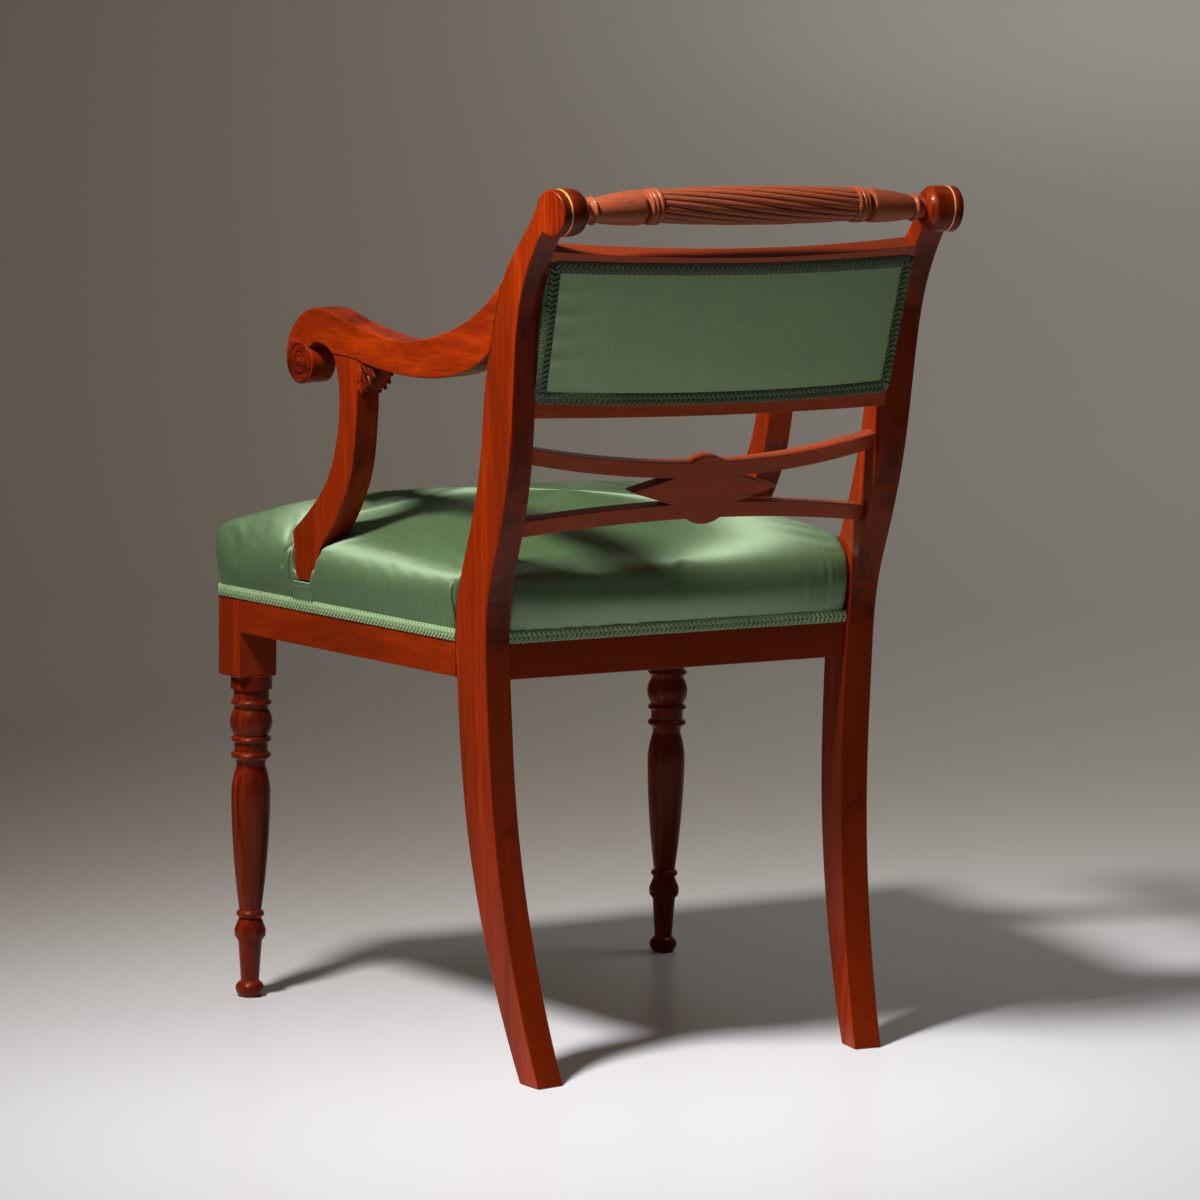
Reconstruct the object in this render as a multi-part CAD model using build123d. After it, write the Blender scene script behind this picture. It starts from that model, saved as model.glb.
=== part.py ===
from build123d import *
import os
from math import atan2, cos, degrees, pi, radians, sin, tan

# Open dining armchair with sabre rear legs, scroll arms, a roped top rail and an over-stuffed seat.
# Millimetres. +Z is up, the chair faces -Y and the sitter's left is +X.
# The origin is on the floor under the middle of the chair.

# Stance of the two side frames: each leg, stile and arm lies in one leaning plane
heel_y = 225.0
foot_half = 193.4
toe = 7.2
cant = 2.4

# Rear leg and stile, sawn from one plank (side frame: back from the heel, up from the floor)
leg_thick = 28.9
stile_top_thick = 25.0
sole_cut = 5.0
leg_back = [(1.7, -5), (-38.8, 117), (-60.8, 235), (-68.4, 376), (-64.4, 452), (-46.3, 508),
            (-25.7, 586), (-16.6, 665), (-3.3, 740), (15.9, 780), (33, 804)]
leg_front = [(-27.3, -5), (-76.9, 117), (-104.7, 235), (-115.1, 376), (-111.4, 452), (-93, 508),
             (-70.9, 586), (-56.5, 675), (-42, 720), (-30.5, 754), (-2.3, 792), (24, 824)]

# Scroll at the head of each stile
roll_back = 43.0
roll_up = 818.2
roll_radius = 21.8
roll_barrel = 21.0
roll_length = 34.0
roll_edge = 2.5
roll_dome = 3.4
roll_eye = 11.0
string_from_face = 9.0
string_width = 1.4
string_depth = 1.2
string_start = -114.0
string_sweep = 268.0

# Seat frame
rail_bottom = 376.0
rail_top = 440.0
rail_thick = 30.0
back_rail_thick = 28.0
seat_front = -286.0
seat_back = 151.0
block_depth = 38.5
block_width = 41.6
block_bottom = 329.0
block_chamfer = 1.5
tenon_length = 16.0
front_tenon_length = 12.0
tenon_thick = 12.0
tenon_shoulder = 10.0
fit = 0.2

# Turned front leg: (radius, drop under the block, bulge), then (radius, height off the floor, bulge)
front_leg_inset = 28.0
round_flats = 3
leg_neck = [(21, -1), (21, 13), (18, 14), (18, 24), (18, 30, 2.8), (17, 33), (17, 61, 4.4), (17, 68, 3.4),
            (16.8, 77), (16.8, 85, 3.6), (15.3, 86), (14.6, 92), (19.8, 124, 1.5)]
leg_foot = [(11.2, 89, 1.8), (11.2, 81, 3), (16, 69), (15.6, 62), (12, 57.5), (9.2, 16), (10.5, 0, 4.8)]

# Arm, support and leaf bracket (side frame)
arm_thick = 28.9
support_head_front = (-306, 668)
support_head_back = (-268.5, 665.5)
arm_top = [(-30.5, 754), (-65, 726), (-97, 709), (-142, 695), (-174, 689), (-202, 688), (-244, 693.3),
           (-279, 700.3), (-315, 709.5), (-339, 710), (-363, 699), (-379.5, 679.5), (-384, 657)]
arm_under = [support_head_back, (-235, 659), (-203, 655.8), (-146, 655.6), (-106, 661.5), (-56, 684)]
arm_nook = [(-338, 676.5), (-322, 676)]
arm_into_stile = 20.0
volute_centre = (-362, 657)
volute_radius = 22.0
arm_tenon_low = 692.0
arm_tenon_high = 732.0
arm_tenon_reach = 16.0
groove_width = 1.8
groove_depth = 1.0
groove_rim = 3.2
groove_pitch = 8.4
groove_half_turns = 3
support_inset = 1.0
support_thick = 27.0
support_front = [support_head_front, (-297.5, 633), (-299.5, 604), (-306.5, 577), (-319, 549), (-341, 523),
                 (-383, 489)]
support_back = [support_head_back, (-267.5, 635), (-271.5, 597), (-281.5, 553), (-301, 517), (-336, 477)]
support_foot_front = -380.0
support_foot_back = -350.0
stub_long = 20.0
stub_thick = 14.0
leaf_inset = 2.0
leaf_lobes = [(-277.5, 633), (-266, 636.5), (-253, 639), (-241, 655)]
leaf_bulge = 2.2
leaf_backing = 26.0

# Rails and splat of the back, each bowed towards the rear
back_bow = 20.0
back_half = 215.0
back_rail_depth = 18.0
back_rail_height = 24.0
back_tenon_reach = 10.0
back_tenon_shoulder = 4.0
upper_rail_y = 239.0
upper_rail_top = 783.0
upper_rail_lean = 26.0
lower_rail_y = 199.7
lower_rail_bottom = 626.5
lower_rail_lean = 6.0
splat_y = 174.0
splat_z = 555.0
splat_lean = 11.5
splat_depth = 15.0
splat_bar = 15.0
splat_rise = 16.5
splat_waist = 20.0
splat_housing = 8.0
roundel_radius = 33.5
lozenge_half = 81.0
lozenge_height = 24.0

# Turned top rail: reeded middle, then (radius, distance from the reeding, bulge) and a ring near the scroll
rail_lift = 4.0
reed_half = 108.0
reed_count = 16
reed_end_radius = 15.4
reed_mid_radius = 18.2
reed_groove = 1.7
reed_turn = 95.0
reed_sections = 7
bead_lip = 0.8
bead_sink = 1.2
rail_beads = [(15.2, 3.6, 1.3), (15.6, 8.4, 1.5), (15, 12, 1.2), (10.8, 13), (10.8, 16), (16, 18), (16.4, 22)]
rail_ring = [(14.5, 34), (11.7, 17), (10.2, 14), (10.2, 8.5, 3), (9.4, 7.5), (9.4, 0)]
spigot_radius = 7.0
spigot_length = 15.0

# Upholstery. The crown is (height over the rails, growth of the seat plan, swell of its sides)
cover_drop = 29.0
cover_thick = 3.0
crown = [(-16, 0, 0), (-4, 2, 2), (10, 4, 3.5), (23, 3.5, 4), (33, 0, 3), (42, -8, 2), (50, -20, 0),
         (59, -40, 0), (68, -72, 0), (75, -112, 0), (79, -165, 0)]
web_width = 45.0
web_pitch = 90.0
web_margin = 63.0
web_thick = 2.0
web_count = 4
hessian_thick = 1.0
gimp_height = 11.0
gimp_thick = 2.2
gimp_drop = 0.5
soft_gap = 0.3
panel_lap_low = 8.4
panel_lap_high = 12.2
panel_cover = 2.5
back_pad_base = 9.0
back_pad_crown = 13.0
back_pad_rim = 11.0
back_pad_round = 9.0

# Frames that the pieces are drawn in
toe_slope = tan(radians(toe))
cant_slope = tan(radians(cant))
outward = (1, toe_slope, -cant_slope)
side_frame = Plane(origin=(foot_half, heel_y, 0), x_dir=(-toe_slope, 1, 0), z_dir=outward)
rail_line_x = foot_half + cant_slope * (rail_bottom + rail_top) / 2
rail_frame = Plane(origin=(rail_line_x, heel_y, 0), x_dir=(-toe_slope, 1, 0), z_dir=(1, toe_slope, 0))
roll_middle = side_frame.from_local_coords(Vector(roll_back, roll_up, 0))
roll_end = side_frame.from_local_coords(Vector(roll_back, roll_up, -roll_length))
roll_frame = Plane(origin=roll_middle, x_dir=side_frame.x_dir, z_dir=side_frame.z_dir)
cover_edge = rail_top - cover_drop
skirt_top = rail_top + crown[0][0]
bed_top = rail_top + 2 * web_thick + hessian_thick
far = 2 * (roll_up + roll_radius)
beyond = 4 * leg_thick


def mirrored(piece):
    """The same piece on the sitter's right."""
    return mirror(piece, about=Plane.YZ)


def both(piece):
    return [piece, mirrored(piece)]


def cut_all(piece, cutters):
    for cutter in cutters:
        piece = piece - cutter
    return piece


def lathe(steps):
    """Turned solid about Z. A step is (radius, height) for a straight run, or (radius, height, bulge)
    for a round that stands off its chord by bulge and is cut as a few flats."""
    points = [(0, steps[0][1]), steps[0][:2]]
    for start, stop in zip(steps, steps[1:]):
        a, b = Vector(*start[:2]), Vector(*stop[:2])
        if len(stop) == 3:
            run = b - a
            outward = Vector(abs(run.Y), run.X if run.Y < 0 else -run.X).normalized()
            round_off = ThreePointArc(a, (a + b) / 2 + outward * stop[2], b)
            points += [round_off @ (k / round_flats) for k in range(1, round_flats)]
        points.append(b)
    points.append((0, steps[-1][1]))
    return revolve(Plane.XZ * make_face(Polyline(*points, close=True)), Axis.Z)


def slab(frame, box):
    """Straight block in a frame, box = (x0, x1, y0, y1, z0, z1)."""
    x0, x1, y0, y1, z0, z1 = box
    centre = ((x0 + x1) / 2, (y0 + y1) / 2, (z0 + z1) / 2)
    return frame * (Pos(*centre) * Box(x1 - x0, y1 - y0, z1 - z0))


def across(box):
    """Block square to the room."""
    return slab(Plane.XY, box)


# Rear leg, stile and scroll
def leg_face():
    back, front = Spline(*leg_back), Spline(*leg_front)
    head = Polyline(leg_back[-1], (roll_back, roll_up), leg_front[-1])
    return make_face([back, head, front, Line(leg_front[0], leg_back[0])])


def leg_front_at(height):
    """Where the front edge of the leg stands at a height."""
    for (u0, v0), (u1, v1) in zip(leg_front, leg_front[1:]):
        if v0 <= height <= v1:
            return u0 + (u1 - u0) * (height - v0) / (v1 - v0)


def scroll():
    """Roll with an eased outer edge and a domed inner end."""
    eased = roll_edge * (1 - cos(radians(45)))
    return roll_frame * lathe([
        (roll_radius - roll_edge, 0),
        (roll_radius, -roll_edge, eased),
        (roll_radius, -roll_barrel),
        (roll_eye, -roll_length, roll_dome),
    ])


def stringing():
    """Pale line let into the rim of the scroll, all round its free part."""
    place = Pos(roll_radius - string_depth / 2, -string_from_face - string_width / 2)
    line = Plane.XZ * (place * Rectangle(string_depth, string_width))
    ring = revolve(line, Axis.Z, revolution_arc=string_sweep)
    return roll_frame * (Rot(0, 0, string_start) * ring)


def stile_taper():
    """Wedge planed off the inner face of the stile, from the seat to the head."""
    profile = Polyline((rail_top, -leg_thick), (roll_up, -leg_thick), (roll_up, -stile_top_thick), close=True)
    edge_on = Plane(origin=side_frame.origin, x_dir=side_frame.y_dir, z_dir=side_frame.x_dir)
    return extrude(edge_on * make_face(profile), amount=far, both=True)


def raw_leg():
    plank = extrude(side_frame * leg_face(), amount=-leg_thick)
    floor = across((-far, far, -far, far, -far, 0))
    return plank - stile_taper() + scroll() - floor


def behind_leg_front(clear, depth):
    """Everything behind the front edge of a stile, down to a depth from its outer face."""
    (u0, v0), (u1, v1) = leg_front[0], leg_front[-1]
    behind = Polyline((u1, v1), (u1 + far / 4, v1), (u1 + far / 4, v0), (u0, v0))
    region = Pos(-clear, 0) * make_face([Spline(*leg_front), behind])
    return extrude(side_frame.offset(beyond) * region, amount=-(beyond + depth))


def outside_stile(clear):
    """Everything outside the inner face of a stile, with room to spare."""
    outside = slab(side_frame, (-far, far, 0, far, -leg_thick, beyond)) - stile_taper()
    return Pos(-clear, 0, 0) * outside


# Seat frame
def rail_edge(y):
    """Half the width of the seat frame at a depth."""
    return rail_line_x - toe_slope * (y - heel_y)


def seat_corners(grow):
    """Plan of the seat, wider at the front, moved outwards by grow on every side."""
    side = grow / cos(radians(toe))
    front, back = seat_front - grow, seat_back + grow
    half_front, half_back = rail_edge(front) + side, rail_edge(back) + side
    return [(-half_front, front), (half_front, front), (half_back, back), (-half_back, back)]


def seat_prism(grow, low, high):
    plan = make_face(Polyline(*seat_corners(grow), close=True))
    return Pos(0, 0, low) * extrude(plan, amount=high - low)


def cover_space():
    """Room that the turned-down cover takes on the outer faces of the frame."""
    return seat_prism(beyond, cover_edge, far) - seat_prism(-cover_thick, cover_edge, far)


def front_block():
    back = seat_front + block_depth
    plan = Polyline(
        (rail_edge(back), back),
        (rail_edge(seat_front), seat_front),
        (rail_edge(seat_front) - block_width, seat_front),
        (rail_edge(back) - block_width, back),
        close=True,
    )
    block = Pos(0, 0, block_bottom) * extrude(make_face(plan), amount=rail_top - block_bottom)
    return chamfer(block.edges().group_by(Axis.Z)[0], block_chamfer)


def front_turning():
    steps = [(radius, block_bottom - drop, *bulge) for radius, drop, *bulge in leg_neck] + leg_foot
    x = rail_edge(seat_front) - front_leg_inset
    return Pos(x, seat_front + block_depth / 2, 0) * lathe(steps)


def tenon(frame, middle, reach, low, high, out, clear):
    """Tenon along a frame's first direction, or its mortise with room all round."""
    return slab(frame, (middle - reach - clear, middle + reach + clear, low - clear, high + clear,
                        out - tenon_thick - clear, out + clear))


def rail_tenons(clear):
    """Tenons of the left side rail, and of the left ends of the front rail and the back rail."""
    low, high = rail_bottom + tenon_shoulder, rail_top - tenon_shoulder
    out = -(rail_thick - tenon_thick) / 2
    block_u = (seat_front + block_depth - heel_y) / cos(radians(toe))
    into_block = tenon(rail_frame, block_u, tenon_length, low, high, out, clear)
    into_leg = tenon(rail_frame, leg_front_at(rail_bottom), tenon_length, low, high, out, clear)
    block_x = rail_edge(seat_front) - block_width
    front_y = seat_front + rail_thick / 2
    leg_x = rail_edge(seat_back) - leg_thick
    back_y = seat_back - back_rail_thick / 2

    def square_tenon(x, reach, y):
        half = tenon_thick / 2 + clear
        return across((x - tenon_length, x + reach + clear, y - half, y + half, low - clear, high + clear))

    front = square_tenon(block_x, front_tenon_length, front_y)
    back = square_tenon(leg_x, tenon_length, back_y)
    return into_block, into_leg, front, back


def side_rail():
    into_block, into_leg, _, _ = rail_tenons(0)
    block_back = seat_front + block_depth
    front_u = (block_back - heel_y) / cos(radians(toe))
    rear_u = leg_front_at(rail_bottom) + rail_thick
    rail = slab(rail_frame, (front_u - rail_thick, rear_u, rail_bottom, rail_top, -rail_thick, 0))
    rail = rail - across((-far, far, -far, block_back, 0, far))
    rail = rail - behind_leg_front(0, 2 * rail_thick) - cover_space()
    return rail + into_block + into_leg - foot_stub(fit)


def front_rail():
    tenons = rail_tenons(0)[2]
    half = rail_edge(seat_front) - block_width / 2
    rail = across((-half, half, seat_front, seat_front + rail_thick, rail_bottom, rail_top))
    return cut_all(rail, both(front_block())) - cover_space() + tenons + mirrored(tenons)


def back_rail(legs):
    tenons = rail_tenons(0)[3]
    half = rail_line_x
    rail = across((-half, half, seat_back - back_rail_thick, seat_back, rail_bottom, rail_top))
    return cut_all(rail, legs) - cover_space() + tenons + mirrored(tenons)


# Bowed pieces of the back
def leaning(y, z, lean):
    """Frame at the middle of the back: across, backwards, and up the lean."""
    return Plane(origin=(0, y, z), x_dir=(1, 0, 0), z_dir=(0, sin(radians(lean)), cos(radians(lean))))


def bowed(frame, half, rear, depth, low, high):
    """Bar bowed towards the rear, its ends at x = half, its rear face at rear in the frame."""
    sag = back_bow * (1 - (half / back_half) ** 2)
    front = rear - depth
    rear_arc = ThreePointArc((-half, rear + sag), (0, rear + back_bow), (half, rear + sag))
    front_arc = ThreePointArc((half, front + sag), (0, front + back_bow), (-half, front + sag))
    ends = [Line(rear_arc @ 1, front_arc @ 0), Line(front_arc @ 1, rear_arc @ 0)]
    return frame * (Pos(0, 0, low) * extrude(make_face([rear_arc, front_arc, *ends]), amount=high - low))


upper_frame = leaning(upper_rail_y, upper_rail_top, upper_rail_lean)
lower_frame = leaning(lower_rail_y, lower_rail_bottom, lower_rail_lean)
splat_frame = leaning(splat_y, splat_z, splat_lean)
panel_foot = lower_frame.from_local_coords(Vector(0, 0, back_rail_height - panel_lap_low))
panel_head = upper_frame.from_local_coords(Vector(0, 0, panel_lap_high - back_rail_height))
panel_rise = panel_head - panel_foot
panel_height = panel_rise.length
panel_frame = leaning(panel_foot.Y, panel_foot.Z, degrees(atan2(panel_rise.Y, panel_rise.Z)))


def inner_half(z, y):
    """Half the clear width between the stiles at a height."""
    return foot_half + cant_slope * z - toe_slope * (y - heel_y) - leg_thick


def cross_rail(frame, low, high):
    """Rail between the stiles with a stub at each end, and the room for the stubs."""
    bar = cut_all(bowed(frame, back_half, 0, back_rail_depth, low, high), both(outside_stile(0)))
    reach = inner_half(frame.origin.Z, frame.origin.Y) + back_tenon_reach
    inset = back_tenon_shoulder
    deep = back_rail_depth - 2 * inset
    stub = bowed(frame, reach, -inset, deep, low + inset, high - inset)
    slot = bowed(frame, reach + fit, fit - inset, deep + 2 * fit, low + inset - fit, high - inset + fit)
    return bar + stub, slot


def splat_front_view():
    """Two sagging bars that meet a roundel and a lozenge, drawn from behind."""
    rise = splat_rise * (back_half / inner_half(splat_z, splat_y)) ** 2
    edge = splat_bar / 2
    tips = [(-lozenge_half, 0), (0, lozenge_height), (lozenge_half, 0), (0, -lozenge_height)]
    sheet = Circle(roundel_radius) + make_face(Polyline(*tips, close=True))
    for up in (1, -1):
        near, end = up * splat_waist, up * (splat_waist + rise)
        inner = ThreePointArc((-back_half, end - edge), (0, near - edge), (back_half, end - edge))
        outer = ThreePointArc((back_half, end + edge), (0, near + edge), (-back_half, end + edge))
        sheet += make_face([inner, Line(inner @ 1, outer @ 0), outer, Line(outer @ 1, inner @ 0)])
    return sheet


def cross_splat():
    tall = splat_rise + splat_waist + 3 * splat_bar
    plank = bowed(splat_frame, back_half, 0, splat_depth, -tall, tall)
    view = extrude(splat_frame * (Plane.XZ * splat_front_view()), amount=back_half, both=True)
    housed = inner_half(splat_z, splat_y) + splat_housing
    return (plank & view) & across((-housed, housed, -far, far, 0, far))


# Turned top rail
def reeded_section(x, y, z):
    """Cross-section of the reeded part: a ring of convex reeds, turned a little at each station."""
    share = x / reed_half
    radius = reed_mid_radius - (reed_mid_radius - reed_end_radius) * share ** 2
    low = radius - reed_groove
    start = radians(reed_turn) * share / 2
    step = 2 * pi / reed_count
    edges = []
    for k in range(reed_count):
        a, b = start + k * step, start + (k + 1) * step
        crest = (radius * cos((a + b) / 2), radius * sin((a + b) / 2))
        edges.append(ThreePointArc((low * cos(a), low * sin(a)), crest, (low * cos(b), low * sin(b))))
    return Plane(origin=(x, y, z), x_dir=(0, 1, 0), z_dir=(1, 0, 0)) * make_face(edges)


def rail_end_frame():
    """Axis of one turned end, from the reeding to the scroll, and its length."""
    start = Vector(reed_half, roll_end.Y, roll_end.Z + rail_lift)
    return Plane(origin=start, z_dir=roll_end - start), (roll_end - start).length


def rail_end():
    """Beads, neck, baluster and ring from the reeding outwards, then the spigot."""
    frame, length = rail_end_frame()
    shoulder = length - soft_gap
    steps = [(reed_end_radius + bead_lip, -bead_sink)] + rail_beads
    steps += [(radius, shoulder - back, *bulge) for radius, back, *bulge in rail_ring]
    steps += [(spigot_radius, shoulder), (spigot_radius, length + spigot_length)]
    return frame * lathe(steps)


def top_rail():
    z = roll_end.Z + rail_lift
    stations = [reed_half * (2 * k / (reed_sections - 1) - 1) for k in range(reed_sections)]
    reeding = loft([reeded_section(x, roll_end.Y, z) for x in stations], ruled=True)
    return reeding + rail_end() + mirrored(rail_end())


def spigot_bore():
    frame, length = rail_end_frame()
    return frame * (Pos(0, 0, length) * Cylinder(spigot_radius + fit, 2 * (spigot_length + fit)))


# Arms
def arm_face():
    cx, cy = volute_centre

    def around(angle):
        return cx + volute_radius * cos(radians(angle)), cy + volute_radius * sin(radians(angle))

    rear_u, rear_v = arm_under[-1]
    return make_face([
        Spline(*arm_top),
        ThreePointArc(around(180), around(225), around(270)),
        ThreePointArc(around(270), around(315), around(0)),
        ThreePointArc(around(0), around(20), around(40)),
        Line(around(40), arm_nook[0]),
        ThreePointArc(*arm_nook, support_head_front),
        Line(support_head_front, support_head_back),
        Spline(*arm_under),
        Polyline(arm_under[-1], (rear_u + arm_into_stile, rear_v + arm_into_stile), arm_top[0]),
    ])


def arm_tenon(clear):
    out = -(arm_thick - tenon_thick) / 2
    seat = leg_front_at((arm_tenon_low + arm_tenon_high) / 2)
    return tenon(side_frame, seat, arm_tenon_reach, arm_tenon_low, arm_tenon_high, out, clear)


def volute_groove():
    """Spiral line cut in the outer face of the volute, as half rings that follow on."""
    x, y = volute_centre
    radius, way, line = volute_radius - groove_rim, 1, []
    for _ in range(groove_half_turns):
        ring = Circle(radius) - Circle(radius - groove_width)
        half_ring = ring & (Pos(0, -way * radius) * Rectangle(2 * radius, 2 * radius))
        line.append(extrude(side_frame.offset(1) * (Pos(x, y) * half_ring), amount=-(1 + groove_depth)))
        radius -= groove_pitch / 2
        x -= way * groove_pitch / 2
        way = -way
    return line


def support_face():
    sole = rail_top - sole_cut
    corners = [(support_foot_front, sole), (support_foot_back, sole)]
    foot = Polyline(support_front[-1], *corners, support_back[-1])
    head = Line(support_head_front, support_head_back)
    return make_face([Spline(*support_front), foot, Spline(*support_back), head])


def support_stub(middle, low, high, clear):
    """Stub tenon on the support, or its mortise with room all round."""
    half = stub_long / 2 + clear
    out = support_inset + (support_thick - stub_thick) / 2
    return slab(side_frame, (middle - half, middle + half, low - clear, high + clear,
                             -out - stub_thick - clear, -out + clear))


def head_stub(clear):
    (u0, v0), (u1, v1) = support_head_front, support_head_back
    head = (v0 + v1) / 2
    return support_stub((u0 + u1) / 2, head - stub_long, head + stub_thick, clear)


def foot_stub(clear):
    middle = (support_foot_front + support_foot_back) / 2
    return support_stub(middle, rail_top - tenon_length, rail_top + stub_long, clear)


def arm_support():
    plank = extrude(side_frame.offset(-support_inset) * support_face(), amount=-support_thick)
    return plank - seat_prism(beyond, 0, rail_top)


def support_room():
    """Slot that the support takes in the stuffing, open to the outside."""
    depth = beyond + support_inset + support_thick
    return extrude(side_frame.offset(beyond) * support_face(), amount=-depth)


def leaf_face():
    """Corner block under the arm with a leaf's lobed lower edge."""
    edges = []
    for a, b in zip(leaf_lobes, leaf_lobes[1:]):
        start, stop = Vector(*a), Vector(*b)
        below = Vector((stop - start).Y, (start - stop).X).normalized()
        edges.append(ThreePointArc(start, (start + stop) / 2 + below * leaf_bulge, stop))
    first, tip = leaf_lobes[0], leaf_lobes[-1]
    top = tip[1] + leaf_backing
    edges.append(Polyline(tip, (tip[0], top), (first[0], top), first))
    return make_face(edges)


def leaf_bracket(arm, support):
    block = extrude(side_frame.offset(-leaf_inset) * leaf_face(), amount=-(support_thick - 2 * leaf_inset))
    return block - arm - support


# Upholstery
def swollen_plan(grow, swell):
    """Seat plan with its four sides swelling out between the corners."""
    corners = [Vector(*corner) for corner in seat_corners(grow)]
    edges = []
    for a, b in zip(corners, corners[1:] + corners[:1]):
        outward = Vector((b - a).Y, (a - b).X).normalized()
        edges.append(ThreePointArc(a, (a + b) / 2 + outward * swell, b) if swell else Line(a, b))
    return make_face(edges)


def seat_pad(cutters):
    """Stuffed seat over the webbing, with the cover turned down over the rails."""
    skirt = seat_prism(0, cover_edge, skirt_top)
    layers = [Pos(0, 0, rail_top + z) * swollen_plan(grow, swell) for z, grow, swell in crown]
    stuffing = loft(layers, ruled=True)
    bed = seat_prism(soft_gap - cover_thick, cover_edge - 1, bed_top + soft_gap)
    return cut_all(skirt + stuffing - bed, cutters)


def webbing(cutters):
    """Webbing tacked on top of the rails, as two layers of straps."""
    straps = []
    front, back = seat_front + cover_thick, seat_back - cover_thick
    spacing = (back - front - 2 * web_margin) / (web_count - 1)
    middle = rail_top + web_thick
    for k in range(web_count):
        y = front + web_margin + k * spacing
        half = rail_edge(y + web_width / 2) - cover_thick - soft_gap
        straps.append(across((-half, half, y - web_width / 2, y + web_width / 2, rail_top, middle)))
        x = (k - (web_count - 1) / 2) * web_pitch
        straps.append(across((x - web_width / 2, x + web_width / 2, front, back, middle, middle + web_thick)))
    return Compound([cut_all(strap, cutters) for strap in straps])


def seat_braid(cutters):
    low = cover_edge - gimp_drop
    strip = seat_prism(gimp_thick, low, low + gimp_height) - seat_prism(0, low - 1, skirt_top)
    return cut_all(strip, cutters)


def panel_braid(rear, stiles):
    """Braid round the edge of the back panel."""
    half = inner_half(panel_foot.Z + panel_height / 2, panel_foot.Y)
    outer = bowed(panel_frame, back_half, rear, gimp_thick, 0, panel_height)
    inside = panel_height - gimp_height
    inner = bowed(panel_frame, half - gimp_height, rear + gimp_thick, 3 * gimp_thick, gimp_height, inside)
    return cut_all(outer - inner, stiles)


def back_swell(rear):
    """Stuffed middle of the back, standing forward of its rim."""
    half = inner_half(panel_foot.Z + panel_height / 2, panel_foot.Y) - back_pad_rim
    depth = back_pad_base + back_pad_crown
    swell = bowed(panel_frame, half, rear, depth, back_pad_rim, panel_height - back_pad_rim)
    front = swell.faces().sort_by(Axis(panel_frame.origin, panel_frame.y_dir))[0]
    return fillet(front.edges(), back_pad_round)


def back_pieces():
    """Rails, splat, padding, cover and braids of the back, and the slots of the rails."""
    stiles = both(outside_stile(soft_gap))
    upper, upper_slot = cross_rail(upper_frame, -back_rail_height, 0)
    lower, lower_slot = cross_rail(lower_frame, 0, back_rail_height)
    cover = cut_all(bowed(panel_frame, back_half, 0, panel_cover, 0, panel_height), stiles)
    rear_braid = panel_braid(gimp_thick, stiles)
    upper = upper - cover - rear_braid
    lower = lower - cover - rear_braid
    inside = -panel_cover - soft_gap
    swell = back_swell(inside)
    pad = bowed(panel_frame, back_half, inside, back_pad_base, 0, panel_height) + swell
    front_braid = panel_braid(inside - back_pad_base, stiles) - swell
    pieces = {
        "upper_back_rail": upper,
        "lower_back_rail": lower,
        "cross_splat": cross_splat(),
        "back_cover": cover,
        "back_gimp_rear": rear_braid,
        "back_pad": cut_all(pad, stiles + [upper, lower]),
        "back_gimp_front": cut_all(front_braid, [upper, lower]),
    }
    return pieces, [upper_slot, lower_slot]


def build():
    leg = raw_leg()
    nodes, back_slots = back_pieces()
    block_slot, leg_slot, front_slot, back_slot = rail_tenons(fit)
    nodes["front_seat_rail"] = front_rail()
    nodes["back_seat_rail"] = back_rail(both(leg))

    ring = stringing()
    support = arm_support()
    arm = extrude(side_frame * arm_face(), amount=-arm_thick) - leg
    leaf = leaf_bracket(arm, support)
    leg = cut_all(leg, [leg_slot, back_slot, *back_slots, nodes["cross_splat"], ring])
    leg = cut_all(leg, [arm_tenon(fit), spigot_bore()])
    sides = {
        "rear_leg": leg,
        "front_leg": cut_all(front_block() - cover_space() + front_turning(), [block_slot, front_slot]),
        "side_seat_rail": side_rail(),
        "arm": cut_all(arm, [head_stub(fit), *volute_groove()]) + arm_tenon(0),
        "arm_support": support + head_stub(0) + foot_stub(0),
        "leaf_bracket": leaf,
        "scroll_stringing": ring,
    }
    for name, piece in sides.items():
        nodes[name + "_left"] = piece
        nodes[name + "_right"] = mirrored(piece)
    nodes["top_rail"] = cut_all(top_rail(), both(leg))

    frame_room = both(behind_leg_front(soft_gap, leg_thick + soft_gap)) + both(support_room())
    nodes["seat_webbing"] = webbing(frame_room)
    nodes["seat_hessian"] = cut_all(seat_prism(-cover_thick, bed_top - hessian_thick, bed_top), frame_room)
    nodes["seat_pad"] = seat_pad(frame_room)
    strips = seat_braid(frame_room).solids().sort_by(Axis.Y)
    nodes["seat_gimp_front"] = strips[0]
    nodes["seat_gimp_back"] = strips[-1]
    return nodes


os.makedirs("parts", exist_ok=True)
for name, piece in build().items():
    export_step(piece, "parts/" + name + ".step")
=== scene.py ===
# %% [markdown]
# # An open armchair, dressed from its frame
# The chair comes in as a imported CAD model: every piece is already in its place, in metres. This lesson
# keeps those places and gives the wood its polish and eased edges, and the seat and back their satin.

# %% Load the frame
import math

import bmesh
import bpy
from mathutils import Matrix, Vector, noise
from mathutils.bvhtree import BVHTree
from mathutils.geometry import interpolate_bezier


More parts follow.
